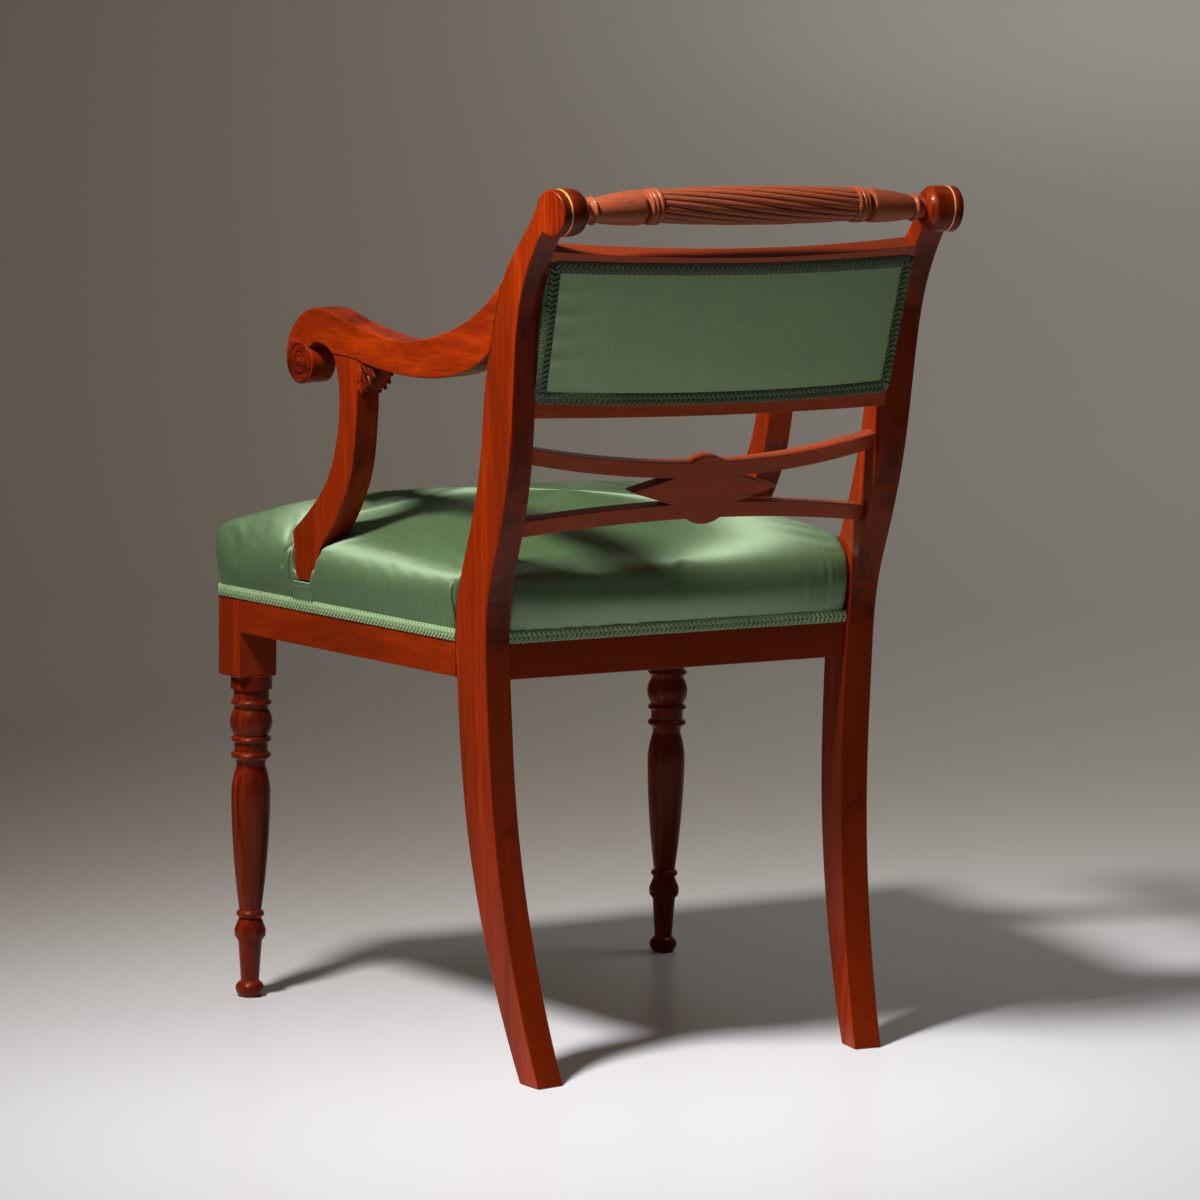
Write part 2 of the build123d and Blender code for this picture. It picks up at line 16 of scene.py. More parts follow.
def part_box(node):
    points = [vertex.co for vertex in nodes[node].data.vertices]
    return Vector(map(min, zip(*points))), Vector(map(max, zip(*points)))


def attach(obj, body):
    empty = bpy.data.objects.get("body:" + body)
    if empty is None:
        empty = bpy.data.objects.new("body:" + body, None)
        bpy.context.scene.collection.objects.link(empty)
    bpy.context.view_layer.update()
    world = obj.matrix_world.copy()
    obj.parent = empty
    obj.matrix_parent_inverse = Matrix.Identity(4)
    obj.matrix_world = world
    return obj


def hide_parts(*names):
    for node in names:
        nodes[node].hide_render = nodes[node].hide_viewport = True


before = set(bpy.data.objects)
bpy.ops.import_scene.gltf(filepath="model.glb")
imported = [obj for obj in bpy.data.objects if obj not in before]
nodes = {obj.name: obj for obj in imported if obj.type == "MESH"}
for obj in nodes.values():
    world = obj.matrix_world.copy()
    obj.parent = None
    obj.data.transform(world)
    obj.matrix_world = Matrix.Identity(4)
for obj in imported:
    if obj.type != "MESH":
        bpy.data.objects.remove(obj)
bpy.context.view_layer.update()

scene = bpy.context.scene
mm = 0.001
sides = {"left": 1, "right": -1}

# %% [markdown]
# ## Camera
# The picture was taken from behind and a little above the seat, with a long lens. A camera looks down its
# own -Z, so three turns set it: round the room, down to the chair, and a slight tilt of the frame.

# %% Place the camera
camera_place = Vector((2.3234, 3.8547, 1.0044))
camera_yaw = math.radians(31.089)
camera_pitch = math.radians(7.352)
camera_tilt = math.radians(0.868)
picture_width = 1200
focal_length = 4613.6
lens = bpy.data.cameras.new("studio_camera")
lens.lens = lens.sensor_width * focal_length / picture_width
camera = bpy.data.objects.new("studio_camera", lens)
scene.collection.objects.link(camera)
turn = Matrix.Rotation(math.pi - camera_yaw, 4, "Z") @ Matrix.Rotation(math.pi / 2 - camera_pitch, 4, "X")
camera.matrix_world = Matrix.Translation(camera_place) @ turn @ Matrix.Rotation(camera_tilt, 4, "Z")
scene.camera = camera
scene.view_settings.view_transform = "Standard"
print("lens", round(lens.lens, 1), "mm")

# %% [markdown]
# ## Writing materials as sums
# A material is a tree of nodes. Wiring one by hand hides what it says, so a small class stands for a value
# on its way through the tree: adding or multiplying two of them adds the Math node that does it.


# %% A value in a material, and a material
class Wire:
    """A value on its way through the nodes of a finish."""

    def __init__(self, finish, socket):
        self.finish = finish
        self.socket = socket

    def maths(self, operation, first, second):
        return self.finish.node("ShaderNodeMath", {"operation": operation}, {0: first, 1: second})

    def __add__(self, other):
        return self.maths("ADD", self, other)

    def __radd__(self, other):
        return self.maths("ADD", other, self)

    def __sub__(self, other):
        return self.maths("SUBTRACT", self, other)

    def __rsub__(self, other):
        return self.maths("SUBTRACT", other, self)

    def __mul__(self, other):
        return self.maths("MULTIPLY", self, other)

    def __rmul__(self, other):
        return self.maths("MULTIPLY", other, self)


class Finish:
    """A material, and the one method that adds nodes to it."""

    def __init__(self, name):
        self.material = bpy.data.materials.new(name)
        self.material.use_nodes = True
        self.tree = self.material.node_tree
        self.tree.nodes.clear()

    def node(self, kind, settings=None, sockets=None, out=0):
        made = self.tree.nodes.new(kind)
        for key, value in (settings or {}).items():
            if key == "stops":
                self.fill_ramp(made.color_ramp, value)
            else:
                setattr(made, key, value)
        for key, value in (sockets or {}).items():
            if isinstance(value, Wire):
                self.tree.links.new(value.socket, made.inputs[key])
            else:
                made.inputs[key].default_value = value
        return Wire(self, made.outputs[out]) if made.outputs else None

    def fill_ramp(self, ramp, stops):
        while len(ramp.elements) < len(stops):
            ramp.elements.new(1.0)
        for element, (place, colour) in zip(ramp.elements, stops):
            element.position = place
            element.color = (*colour, 1.0)

    def grain(self, size, stretch, detail=2.0, twist=0.0):
        """Noise whose specks are about 1/size metres across and drawn out along an axis."""
        place = self.node("ShaderNodeTexCoord", out="Object")
        drawn = self.node("ShaderNodeMapping", {}, {"Vector": place, "Scale": stretch})
        return self.node("ShaderNodeTexNoise", {}, {
            "Vector": drawn,
            "Scale": size,
            "Detail": detail,
            "Distortion": twist,
        })

    def between(self, amount, low, high):
        """A colour part of the way from low to high."""
        low, high = [end if isinstance(end, Wire) else (*end, 1.0) for end in (low, high)]
        return self.node("ShaderNodeMix", {"data_type": "RGBA"}, {0: amount, 6: low, 7: high}, out=2)

    def mark(self, name):
        """A value that the mesh itself carries, such as where its wood is worn."""
        return self.node("ShaderNodeAttribute", {"attribute_name": name}, out="Fac")

    def bump(self, strength, depth, height):
        """Small relief, with its depth in millimetres."""
        sockets = {"Strength": strength, "Distance": depth * mm, "Height": height}
        return self.node("ShaderNodeBump", {}, sockets)

    def close(self, sockets):
        """Ends the tree in one surface shader."""
        surface = self.node("ShaderNodeBsdfPrincipled", {}, sockets)
        self.node("ShaderNodeOutputMaterial", {}, {"Surface": surface})
        return self.material


print("materials are written with", Finish.__name__)

# %% [markdown]
# ## French-polished mahogany
# The frame is red-brown mahogany under many thin coats of shellac. Three sizes of grain make the colour:
# broad bands of figure, fibres a few millimetres wide, and the dark open pores. Each piece was sawn with
# its grain along its length, so there is one finish for uprights, one for side pieces and one for rails,
# and one for the rails of the back whose colour is mixed towards brown as a painted sheen. Painted shade
# darkens the wood on rear faces, on the upward faces of the back rails, over the side rails and in carved
# lines; an attribute of the mesh says where.

# %% Wood finishes
wood_dark = (0.036, 0.0030, 0.0007)
wood_middle = (0.135, 0.0090, 0.0008)
wood_light = (0.300, 0.0270, 0.0013)
# A brown that the back's rails are mixed towards, as a painted sheen of reflected light.
painted_sheen_brown = (0.480, 0.145, 0.070)
polish_tint = (1.0, 0.50, 0.28, 1.0)
grain_draw = 0.04
figure_size = 30
fibre_size = 300
pore_size = 1500
pore_shade = 0.45
# How dark the painted shade makes the wood where the mesh marks it.
painted_shade_depth = 0.74
arris_wear = 0.30


def mahogany(name, along, brown=0.0):
    finish = Finish(name)
    stretch = [1.0, 1.0, 1.0]
    stretch["xyz".index(along)] = grain_draw
    figure = finish.grain(figure_size, stretch, 4, 0.9)
    fibres = finish.grain(fibre_size, stretch, 3, 0.2)
    pores = finish.grain(pore_size, stretch, 1)
    depth = 0.62 * figure + 0.38 * fibres
    open_pores = finish.node("ShaderNodeMapRange", {}, {0: pores, 1: 0.56, 2: 0.70})
    stops = [(0.36, wood_dark), (0.50, wood_middle), (0.67, wood_light)]
    colour = finish.node("ShaderNodeValToRGB", {"stops": stops}, {0: depth})
    # Painted sheen: the back's rails are mixed towards brown.
    colour = finish.between(brown, colour, painted_sheen_brown)
    colour = finish.between(pore_shade * open_pores, colour, wood_dark)
    # Painted shade: darker wood on rear faces, back rail tops, side rails and in carved lines.
    colour = finish.between(painted_shade_depth * finish.mark("unwaxed"), colour, wood_dark)
    colour = finish.between(arris_wear * finish.mark("arris"), colour, wood_light)
    return finish.close({
        "Base Color": colour,
        "Roughness": 0.26 + 0.20 * fibres,
        "Normal": finish.bump(0.06, 0.3, fibres - open_pores),
        "Specular IOR Level": 0.20,
        "Specular Tint": polish_tint,
        "Coat Weight": 0.08,
        "Coat Roughness": 0.06,
    })


upright_wood = mahogany("mahogany_upright", "z")
side_wood = mahogany("mahogany_side", "y")
cross_wood = mahogany("mahogany_cross", "x")
back_wood_painted_sheen = mahogany("mahogany_back_painted_sheen", "x", 0.32)
print("wood finishes:", upright_wood.name, side_wood.name, cross_wood.name, back_wood_painted_sheen.name)

# %% [markdown]
# ## Pale string
# A line of straw-coloured holly or box is let into the rim of each scroll. The CAD ring has the right
# shape, so it only gets a finish: pale wood with a faint run of grain and the same polish.


# %% String finish
def pale_string():
    finish = Finish("pale_string")
    fibres = finish.grain(500, (1.0, 0.1, 1.0), 3)
    colour = finish.between(fibres, (0.50, 0.22, 0.045), (0.80, 0.46, 0.13))
    return finish.close({"Base Color": colour, "Roughness": 0.25 + 0.15 * fibres, "Coat Weight": 0.4})


string_wood = pale_string()
for side in sides:
    ring = nodes["scroll_stringing_" + side]
    ring.data.materials.clear()
    ring.data.materials.append(string_wood)
print("string finish:", string_wood.name)

# %% [markdown]
# ## Making a piece
# Every new piece ends the same way: its mesh becomes an object at the origin, rides on the chair's one
# body, hides the CAD nodes that it stands for and gets its finish.


# %% Finish a piece
def object_from(name, shape):
    """An object at the origin whose mesh is the shape."""
    mesh = bpy.data.meshes.new(name)
    for face in shape.faces:
        face.smooth = True
    shape.to_mesh(mesh)
    shape.free()
    made = bpy.data.objects.new(name, mesh)
    scene.collection.objects.link(made)
    return made


def piece_from(name, shape, material, stands_for):
    piece = object_from(name, shape)
    piece.data.materials.append(material)
    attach(piece, "root")
    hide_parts(*stands_for)
    return piece


def even_normals(piece):
    """Large flat faces keep flat shading beside their rounded edges."""
    weighted = piece.modifiers.new("even_normals", "WEIGHTED_NORMAL")
    weighted.keep_sharp = True


def close_holes(shape):
    return bmesh.ops.holes_fill(shape, edges=[e for e in shape.edges if e.is_boundary], sides=0)["faces"]


def cut_flat(shape, place, facing, near, off=False):
    """Cuts a shape along a plane and, if asked, takes off what lies behind it."""
    everything = shape.verts[:] + shape.edges[:] + shape.faces[:]
    bmesh.ops.bisect_plane(shape, geom=everything, dist=near, plane_co=place, plane_no=facing,
                           clear_inner=off)


def thicken(shape, faces, thickness):
    """Gives a skin its thickness, behind its faces."""
    bmesh.ops.recalc_face_normals(shape, faces=faces)
    bmesh.ops.solidify(shape, geom=faces, thickness=thickness)


def hump(distance, reach):
    """1 in the middle, fading smoothly with distance."""
    return math.exp(-(distance / reach) ** 2)


def merged_copy(node):
    """A CAD node's mesh with its loose triangles joined."""
    shape = bmesh.new()
    shape.from_mesh(nodes[node].data)
    bmesh.ops.remove_doubles(shape, verts=shape.verts, dist=0.004 * mm)
    return shape


print("new pieces will stand for", len(nodes), "nodes")


# %% [markdown]
# ## Eased edges
# No edge on a real chair is a knife edge: the maker takes it off with a scraper and polish softens it
# further, and the thin bright line that this leaves is what makes wood look like wood. A copy of each CAD
# piece is merged, its sharp edges are found by angle and bevelled, and the new faces are marked, so that
# the finish can show a little wear there. The ends of the back rails stay square and run into the stiles.

# %% Ease the plank pieces
sharp_angle = math.radians(38)
flat_angle = math.radians(1.0)
long_edge = 0.7
back_rails = ("upper_back_rail", "lower_back_rail")
rearward = Vector((0, 1, 0))
upward = Vector((0, 0, 1))
# The side rails carry at least this much painted shade, for the shade under the seat's overhang.
side_rail_painted_shade = 0.45
shoulder_zone = 15.0 * mm
shoulder_reach = 3.0 * mm


def ease(shape, width, steps=3, ends=True):
    bmesh.ops.dissolve_limit(shape, angle_limit=flat_angle, verts=shape.verts, edges=shape.edges)
    worn = shape.verts.layers.float.new("arris")
    sharp = [e for e in shape.edges if e.is_manifold and e.is_convex and e.calc_face_angle() > sharp_angle]
    if not ends:
        sharp = [e for e in sharp if abs((e.verts[0].co - e.verts[1].co).normalized().x) > long_edge]
    made = bmesh.ops.bevel(shape, geom=sharp, offset=width, offset_type="OFFSET", affect="EDGES",
                           segments=steps, profile=0.5, material=-1, clamp_overlap=False, loop_slide=True)
    for vert in {v for face in made["faces"] for v in face.verts}:
        vert[worn] = 1.0
    for edge in shape.edges:
        if edge.is_manifold and edge.calc_face_angle() > sharp_angle:
            edge.smooth = False


def paint_shade(shape, way, least=0.0):
    """Marks painted shade on the faces that look one way, and at least the given amount on every face."""
    unwaxed = shape.faces.layers.float.new("unwaxed")
    for face in shape.faces:
        face[unwaxed] = max(least, min(1.0, (face.normal.dot(way) - 0.2) / 0.6))


def reach_stiles(shape):
    """Runs a back rail's shoulders a little into the leaning stiles, so that no gap shows."""
    shoulder = max(vert.co.x for vert in shape.verts) - shoulder_zone
    for vert in shape.verts:
        if abs(vert.co.x) > shoulder:
            vert.co.x += math.copysign(shoulder_reach, vert.co.x)


def eased_piece(node, material, width):
    shape = merged_copy(node)
    ease(shape, width, ends=node not in back_rails)
    # Painted shade on rear faces of legs and back seat rail, over the side rails, and on back rail tops.
    if node.startswith(("rear_leg", "back_seat")):
        paint_shade(shape, rearward)
    elif node.startswith("side_seat"):
        paint_shade(shape, rearward, side_rail_painted_shade)
    elif node in back_rails:
        paint_shade(shape, upward)
        reach_stiles(shape)
    piece = piece_from(node + "_eased", shape, material, [node])
    even_normals(piece)
    return piece


paired_planks = {
    "rear_leg": (upright_wood, 1.3),
    "arm_support": (upright_wood, 1.3),
    "side_seat_rail": (side_wood, 0.8),
}
single_planks = {
    "front_seat_rail": (cross_wood, 0.8),
    "back_seat_rail": (cross_wood, 0.8),
    "upper_back_rail": (back_wood_painted_sheen, 0.8),
    "lower_back_rail": (back_wood_painted_sheen, 0.8),
    "cross_splat": (back_wood_painted_sheen, 0.7),
}
planks = {name + "_" + side: look for name, look in paired_planks.items() for side in sides}
for node, (material, width) in (planks | single_planks).items():
    made = eased_piece(node, material, width * mm)
    print(made.name, len(made.data.polygons), "faces")

# %% [markdown]
# ## Turned front legs
# A turner works from a profile: straight runs, and rounds that stand off the line between two points. The
# profile is drawn once and spun round the leg's axis. The square block on top keeps its CAD shape, eased.

# %% Turn the front legs
seat_front = -286.0
leg_axis_y = -266.75
leg_axis_x = 247.05
block_bottom = 329.0
turning_steps = 56
round_steps = 9
block_ease = 1.4 * mm
turned_sharp = math.radians(50)
leg_neck = [(21, -1), (21, 13), (18, 14), (18, 24), (18, 30, 2.8), (17, 33), (17, 61, 4.4), (17, 68, 3.4),
            (16.8, 77), (16.8, 85, 3.6), (15.3, 86), (14.6, 92), (19.8, 124, 1.5)]
leg_foot = [(11.2, 89, 1.8), (11.2, 81, 3), (16, 69), (15.6, 62), (12, 57.5), (9.2, 16), (10.5, 0, 4.8)]


def profile_points(steps):
    """Points down a turned profile. A step is (radius, height), or (radius, height, bulge) for a round."""
    points = [Vector(steps[0][:2])]
    for start, stop in zip(steps, steps[1:]):
        a, b = Vector(start[:2]), Vector(stop[:2])
        bulge = stop[2] if len(stop) == 3 else 0.0
        run = b - a
        outward = Vector((abs(run.y), run.x if run.y < 0 else -run.x)).normalized()
        count = round_steps if bulge else 1
        for k in range(1, count + 1):
            share = k / count
            rise = 4 * bulge * share * (1 - share)
            points.append(a + run * share + outward * rise)
    return points


def turned(steps):
    """A bmesh spun from a profile about Z, in metres."""
    shape = bmesh.new()
    points = profile_points(steps)
    rim = [shape.verts.new((0, 0, points[0].y * mm))]
    rim += [shape.verts.new((p.x * mm, 0, p.y * mm)) for p in points]
    rim.append(shape.verts.new((0, 0, points[-1].y * mm)))
    lines = [shape.edges.new(pair) for pair in zip(rim, rim[1:])]
    bmesh.ops.spin(shape, geom=rim + lines, cent=(0, 0, 0), axis=(0, 0, 1), dvec=(0, 0, 0),
                   angle=2 * math.pi, steps=turning_steps, use_merge=True)
    bmesh.ops.remove_doubles(shape, verts=shape.verts, dist=0.002 * mm)
    bmesh.ops.recalc_face_normals(shape, faces=shape.faces)
    return shape


def mark_sharp(shape, angle):
    for edge in shape.edges:
        if edge.is_manifold and edge.calc_face_angle() > angle:
            edge.smooth = False


def add_to(shape, other):
    """Puts one bmesh into another."""
    carrier = bpy.data.meshes.new("carrier")
    other.to_mesh(carrier)
    other.free()
    shape.from_mesh(carrier)
    bpy.data.meshes.remove(carrier)


leg_steps = [(step[0], block_bottom - step[1], *step[2:]) for step in leg_neck] + leg_foot
for side, way in sides.items():
    leg = merged_copy("front_leg_" + side)
    cut_flat(leg, (0, 0, (block_bottom + 0.8) * mm), upward, 0.001 * mm, off=True)
    close_holes(leg)
    ease(leg, block_ease)
    turning = turned(leg_steps)
    bmesh.ops.translate(turning, verts=turning.verts, vec=(way * leg_axis_x * mm, leg_axis_y * mm, 0))
    mark_sharp(turning, turned_sharp)
    add_to(leg, turning)
    # Painted shade on the leg's rear faces.
    paint_shade(leg, rearward)
    made = piece_from("front_leg_turned_" + side, leg, upright_wood, ["front_leg_" + side])
    even_normals(made)
    print(made.name, len(made.data.polygons), "faces")

# %% [markdown]
# ## The side frame
# Leg, arm and support of one side were drawn in one leaning plane, and so were the scrolls. A matrix turns
# back-and-up measures of that plane into places in the room, and a mirror gives the other side.

# %% A frame for each side
toe = math.radians(7.2)
cant = math.radians(2.4)
heel = Vector((193.4, 225.0, 0.0))
back_way = Vector((-math.tan(toe), 1, 0)).normalized()
out_way = Vector((1, math.tan(toe), -math.tan(cant))).normalized()
up_way = out_way.cross(back_way)
side_turn = Matrix((back_way, up_way, out_way)).transposed().to_4x4()
side_frame = Matrix.Translation(heel * mm) @ side_turn


def side_point(back, up, out):
    """A place in the room, in metres, from millimetres in the left side frame."""
    return side_frame @ (Vector((back, up, out)) * mm)


roll_back = 43.0
roll_up = 818.2
roll_length = 34.0
roll_end = side_point(roll_back, roll_up, -roll_length)
print("inner end of the scroll:", [round(x, 4) for x in roll_end])

# %% [markdown]
# ## Arms and their volutes
# Each arm ends in a volute with a spiral line cut in its outer face. The CAD line is made of half rings; a
# carver's line is one smooth spiral that runs in to a raised eye. So the flat face is made whole again and
# a thin round cap is laid on it: a grid wrapped to a disc, lowered along the spiral and raised at the eye.
# At the other end, the corner of the tenon that comes up through the arm's top is taken off first.

# %% Carve the arms
volute_back = -362.0
volute_up = 657.0
volute_radius = 22.0
tenon_top = 732.0
cap_radius = 20.4
cap_high = 0.9
spiral_start = 16.8
spiral_end = 4.4
spiral_turns = 1.65
spiral_from = math.radians(80)
line_wide = 0.75
line_deep = 0.85
line_painted_shade = 1.6
eye_radius = 2.6
eye_high = 1.0
cap_rim = 22
cap_sunk = 0.05
arm_ease = 1.6 * mm


def mirror_side(shape, way):
    """Left pieces are drawn; the right ones are their mirror images."""
    bmesh.ops.scale(shape, vec=(way, 1, 1), verts=shape.verts)
    bmesh.ops.recalc_face_normals(shape, faces=shape.faces)


def whole_face(shape, way):
    """Takes the half rings out of the volute's face and closes it flat."""
    to_side = side_frame.inverted() @ Matrix.Scale(way, 4, (1, 0, 0))
    middle = Vector((volute_back, volute_up, 0)) * mm

    def in_line(face):
        spots = [to_side @ v.co - middle for v in face.verts]
        near = all(spot.xy.length < (volute_radius - 1.5) * mm for spot in spots)
        return near and any(-1.6 * mm < spot.z < -0.4 * mm for spot in spots)

    bmesh.ops.delete(shape, geom=[face for face in shape.faces if in_line(face)], context="FACES")
    close_holes(shape)


def trim_tenon(shape, way):
    """Takes off the corner of the tenon that comes up through the arm and closes the wood over it."""
    to_side = side_frame.inverted() @ Matrix.Scale(way, 4, (1, 0, 0))
    spots = {vert: to_side @ vert.co / mm for vert in shape.verts}
    level = [vert for vert, spot in spots.items() if abs(spot.y - tenon_top) < 0.2]
    front = min(spots[vert].x for vert in level)
    corner = [vert for vert in level if spots[vert].x < front + 0.3]
    bmesh.ops.delete(shape, geom=corner, context="VERTS")
    close_holes(shape)
    print("tenon corner trimmed:", len(corner), "points")


def spiral_gap(radius, angle):
    """How far a place on the cap is from the spiral line, in millimetres."""
    gaps = [99.0]
    for turn in range(3):
        share = ((angle - spiral_from) % math.tau / math.tau + turn) / spiral_turns
        if share <= 1:
            gaps.append(abs(radius - spiral_start - (spiral_end - spiral_start) * share))
    return min(gaps)


def volute_cap():
    cap = bmesh.new()
    bmesh.ops.create_grid(cap, x_segments=128, y_segments=56, size=1.0)
    unwaxed = cap.verts.layers.float.new("unwaxed")
    for vert in cap.verts:
        angle, share = vert.co.x * math.pi, (vert.co.y + 1) / 2
        radius = cap_radius * share
        cut = hump(spiral_gap(radius, angle), line_wide)
        # Painted shade along the spiral line.
        vert[unwaxed] = line_painted_shade * cut
        high = cap_high * min(1.0, (1 - share) * cap_rim) ** 0.5 - line_deep * cut
        high += eye_high * max(0.0, 1 - (radius / eye_radius) ** 2) ** 0.5
        back, up = volute_back + radius * math.cos(angle), volute_up + radius * math.sin(angle)
        vert.co = side_point(back, up, high - cap_sunk)
    bmesh.ops.remove_doubles(cap, verts=cap.verts, dist=0.003 * mm)
    close_holes(cap)
    return cap


for side, way in sides.items():
    arm = merged_copy("arm_" + side)
    trim_tenon(arm, way)
    whole_face(arm, way)
    ease(arm, arm_ease)
    # The arm's own wood carries no painted shade.
    arm.verts.layers.float.new("unwaxed")
    cap = volute_cap()
    mirror_side(cap, way)
    add_to(arm, cap)
    made = piece_from("arm_carved_" + side, arm, side_wood, ["arm_" + side])
    even_normals(made)
    print(made.name, len(made.data.polygons), "faces")

# %% [markdown]
# ## Leaves under the arms
# In the corner behind each support a carver has set a small acanthus leaf: blunt leaflets that fan out
# from the corner, each hollowed along its vein and curled out at the tip. One leaflet is a drawn-out ball;
# they lie on both faces of the CAD bracket, whose lobed lower edge stays. A leaflet's numbers are the back
# and up measures of its tip, its width and its curl.

# %% Carve the leaves
leaf_root = (-269.0, 665.0)
leaf_tips = [
    (-269.0, 632.0, 8.0, 1.2), (-261.0, 631.5, 8.5, 2.2), (-252.0, 635.0, 8.5, 2.4),
    (-244.0, 641.5, 8.0, 2.2), (-238.0, 650.0, 7.5, 1.6), (-265.5, 643.0, 6.5, 3.6),
    (-257.0, 645.0, 6.5, 3.8), (-249.0, 652.0, 6.0, 3.6),
]
leaf_faces = {-4.0: 1, -23.0: -1}
leaf_thick = 5.5
leaf_taper = 0.35
leaf_blunt = -0.22
vein_deep = 0.45
vein_wide = 0.25


def leaflet(shape, tip, level, way):
    """One leaflet on a face of the bracket, drawn from a ball."""
    root = Vector(leaf_root)
    *end, wide, curl = tip
    run = Vector(end) - root
    side = Vector((-run.y, run.x)).normalized()
    for vert in bmesh.ops.create_uvsphere(shape, u_segments=18, v_segments=14, radius=1.0)["verts"]:
        along = (vert.co.z + 1) / 2
        slim = (1 - leaf_taper * along ** 2.4) * max(0.02, 1 - vert.co.z ** 2) ** leaf_blunt
        vein = vein_deep * hump(vert.co.x, vein_wide)
        spot = root + run * along + side * (vert.co.x * wide / 2 * slim)
        out = (vert.co.y - way * vein) * leaf_thick / 2 * slim + way * curl * along ** 2
        vert.co = side_point(spot.x, spot.y, level + out)


for side, way in sides.items():
    leaf = merged_copy("leaf_bracket_" + side)
    mark_sharp(leaf, sharp_angle)
    carving = bmesh.new()
    for level, facing in leaf_faces.items():
        for tip in leaf_tips:
            leaflet(carving, tip, level, facing)
    mirror_side(carving, way)
    add_to(leaf, carving)
    made = piece_from("leaf_carved_" + side, leaf, upright_wood, ["leaf_bracket_" + side])
    even_normals(made)
    print(made.name, len(made.data.polygons), "faces")

# %% [markdown]
# ## Reeded top rail
# The rail between the scrolls is turned, then carved with sixteen reeds that wind round a swelling shaft.
# A ring with the reeds' section is made once, then extruded in short steps that move it along, turn it
# and change its size. The beads and balusters at the ends are spun like the legs.

# %% Carve the top rail
reed_half = 108.0
reed_count = 16
reed_end_radius = 15.4
reed_mid_radius = 18.2
reed_groove = 1.9
reed_turn = math.radians(95)
reed_points = 10
reed_stations = 60
rail_lift = 4.0
rail_gap = 0.3
rail_beads = [(15.2, 3.6, 1.3), (15.6, 8.4, 1.5), (15, 12, 1.2), (10.8, 13), (10.8, 16), (16, 18),
              (16.4, 22)]
rail_ring = [(14.5, 34), (11.7, 17), (10.2, 14), (10.2, 8.5, 3), (9.4, 7.5), (9.4, 0)]
rail_middle = Vector((0, roll_end.y, roll_end.z + rail_lift * mm))


def reed_radius(share):
    """Radius at the reeds' crests, swelling towards the middle."""
    return (reed_mid_radius - (reed_mid_radius - reed_end_radius) * share ** 2) * mm


def reeded_shaft():
    shape = bmesh.new()
    ring = bmesh.ops.create_circle(shape, segments=reed_count * reed_points, radius=1.0)["verts"]
    for vert in ring:
        angle = math.atan2(vert.co.y, vert.co.x) * reed_count / math.tau
        across = 2 * (angle - math.floor(angle)) - 1
        vert.co *= 1 - reed_groove / reed_mid_radius * (1 - math.sqrt(1 - 0.96 * across ** 2))
    upright = Matrix.Rotation(math.pi / 2, 4, "Y")
    bmesh.ops.transform(shape, matrix=upright, verts=ring)
    bmesh.ops.scale(shape, vec=(reed_radius(1),) * 3, verts=ring)
    bmesh.ops.translate(shape, vec=rail_middle - Vector((reed_half * mm, 0, 0)), verts=ring)
    edges = shape.edges[:]
    for k in range(reed_stations):
        before = 2 * k / reed_stations - 1
        after = 2 * (k + 1) / reed_stations - 1
        grown = bmesh.ops.extrude_edge_only(shape, edges=edges)["geom"]
        ring = [g for g in grown if isinstance(g, bmesh.types.BMVert)]
        edges = [g for g in grown if isinstance(g, bmesh.types.BMEdge)]
        step = Vector((2 * reed_half * mm / reed_stations, 0, 0))
        bmesh.ops.translate(shape, vec=step, verts=ring)
        to_axis = Matrix.Translation(-rail_middle)
        size = reed_radius(after) / reed_radius(before)
        bmesh.ops.scale(shape, vec=(1, size, size), verts=ring, space=to_axis)
        twist = Matrix.Rotation(reed_turn / reed_stations, 3, "X")
        bmesh.ops.rotate(shape, matrix=twist, cent=rail_middle, verts=ring)
    close_holes(shape)
    bmesh.ops.recalc_face_normals(shape, faces=shape.faces)
    return shape


def rail_end_turning():
    start = rail_middle + Vector((reed_half * mm, 0, 0))
    run = roll_end - start
    shoulder = run.length / mm - rail_gap
    steps = [(reed_end_radius + 0.9, -1.2)] + rail_beads
    steps += [(radius, shoulder - back, *bulge) for radius, back, *bulge in rail_ring]
    shape = turned(steps)
    aim = Vector((0, 0, 1)).rotation_difference(run).to_matrix().to_4x4()
    bmesh.ops.transform(shape, matrix=Matrix.Translation(start) @ aim, verts=shape.verts)
    return shape


rail = reeded_shaft()
mark_sharp(rail, math.radians(60))
for way in sides.values():
    end = rail_end_turning()
    mirror_side(end, way)
    mark_sharp(end, turned_sharp)
    add_to(rail, end)
top_rail = piece_from("top_rail_reeded", rail, back_wood_painted_sheen, ["top_rail"])
even_normals(top_rail)
print(top_rail.name, len(top_rail.data.polygons), "faces")

# %% [markdown]
# ## Satin
# The seat and back are covered in a plain green satin. Its long floating threads run one way, so it has a
# broad soft shine instead of a sharp one, tinted by the cloth. Fine streaks along the thread and a faint
# sparkle from single floats give it scale. On the seat the threads are combed, which draws out the shine.

# %% Satin finish
thread_draw = 0.04
flank_draw = (thread_draw, 1.0, thread_draw)
satin_gloss = (0.80, 1.0, 0.78, 1.0)
slub_size = 420
float_size = 1500


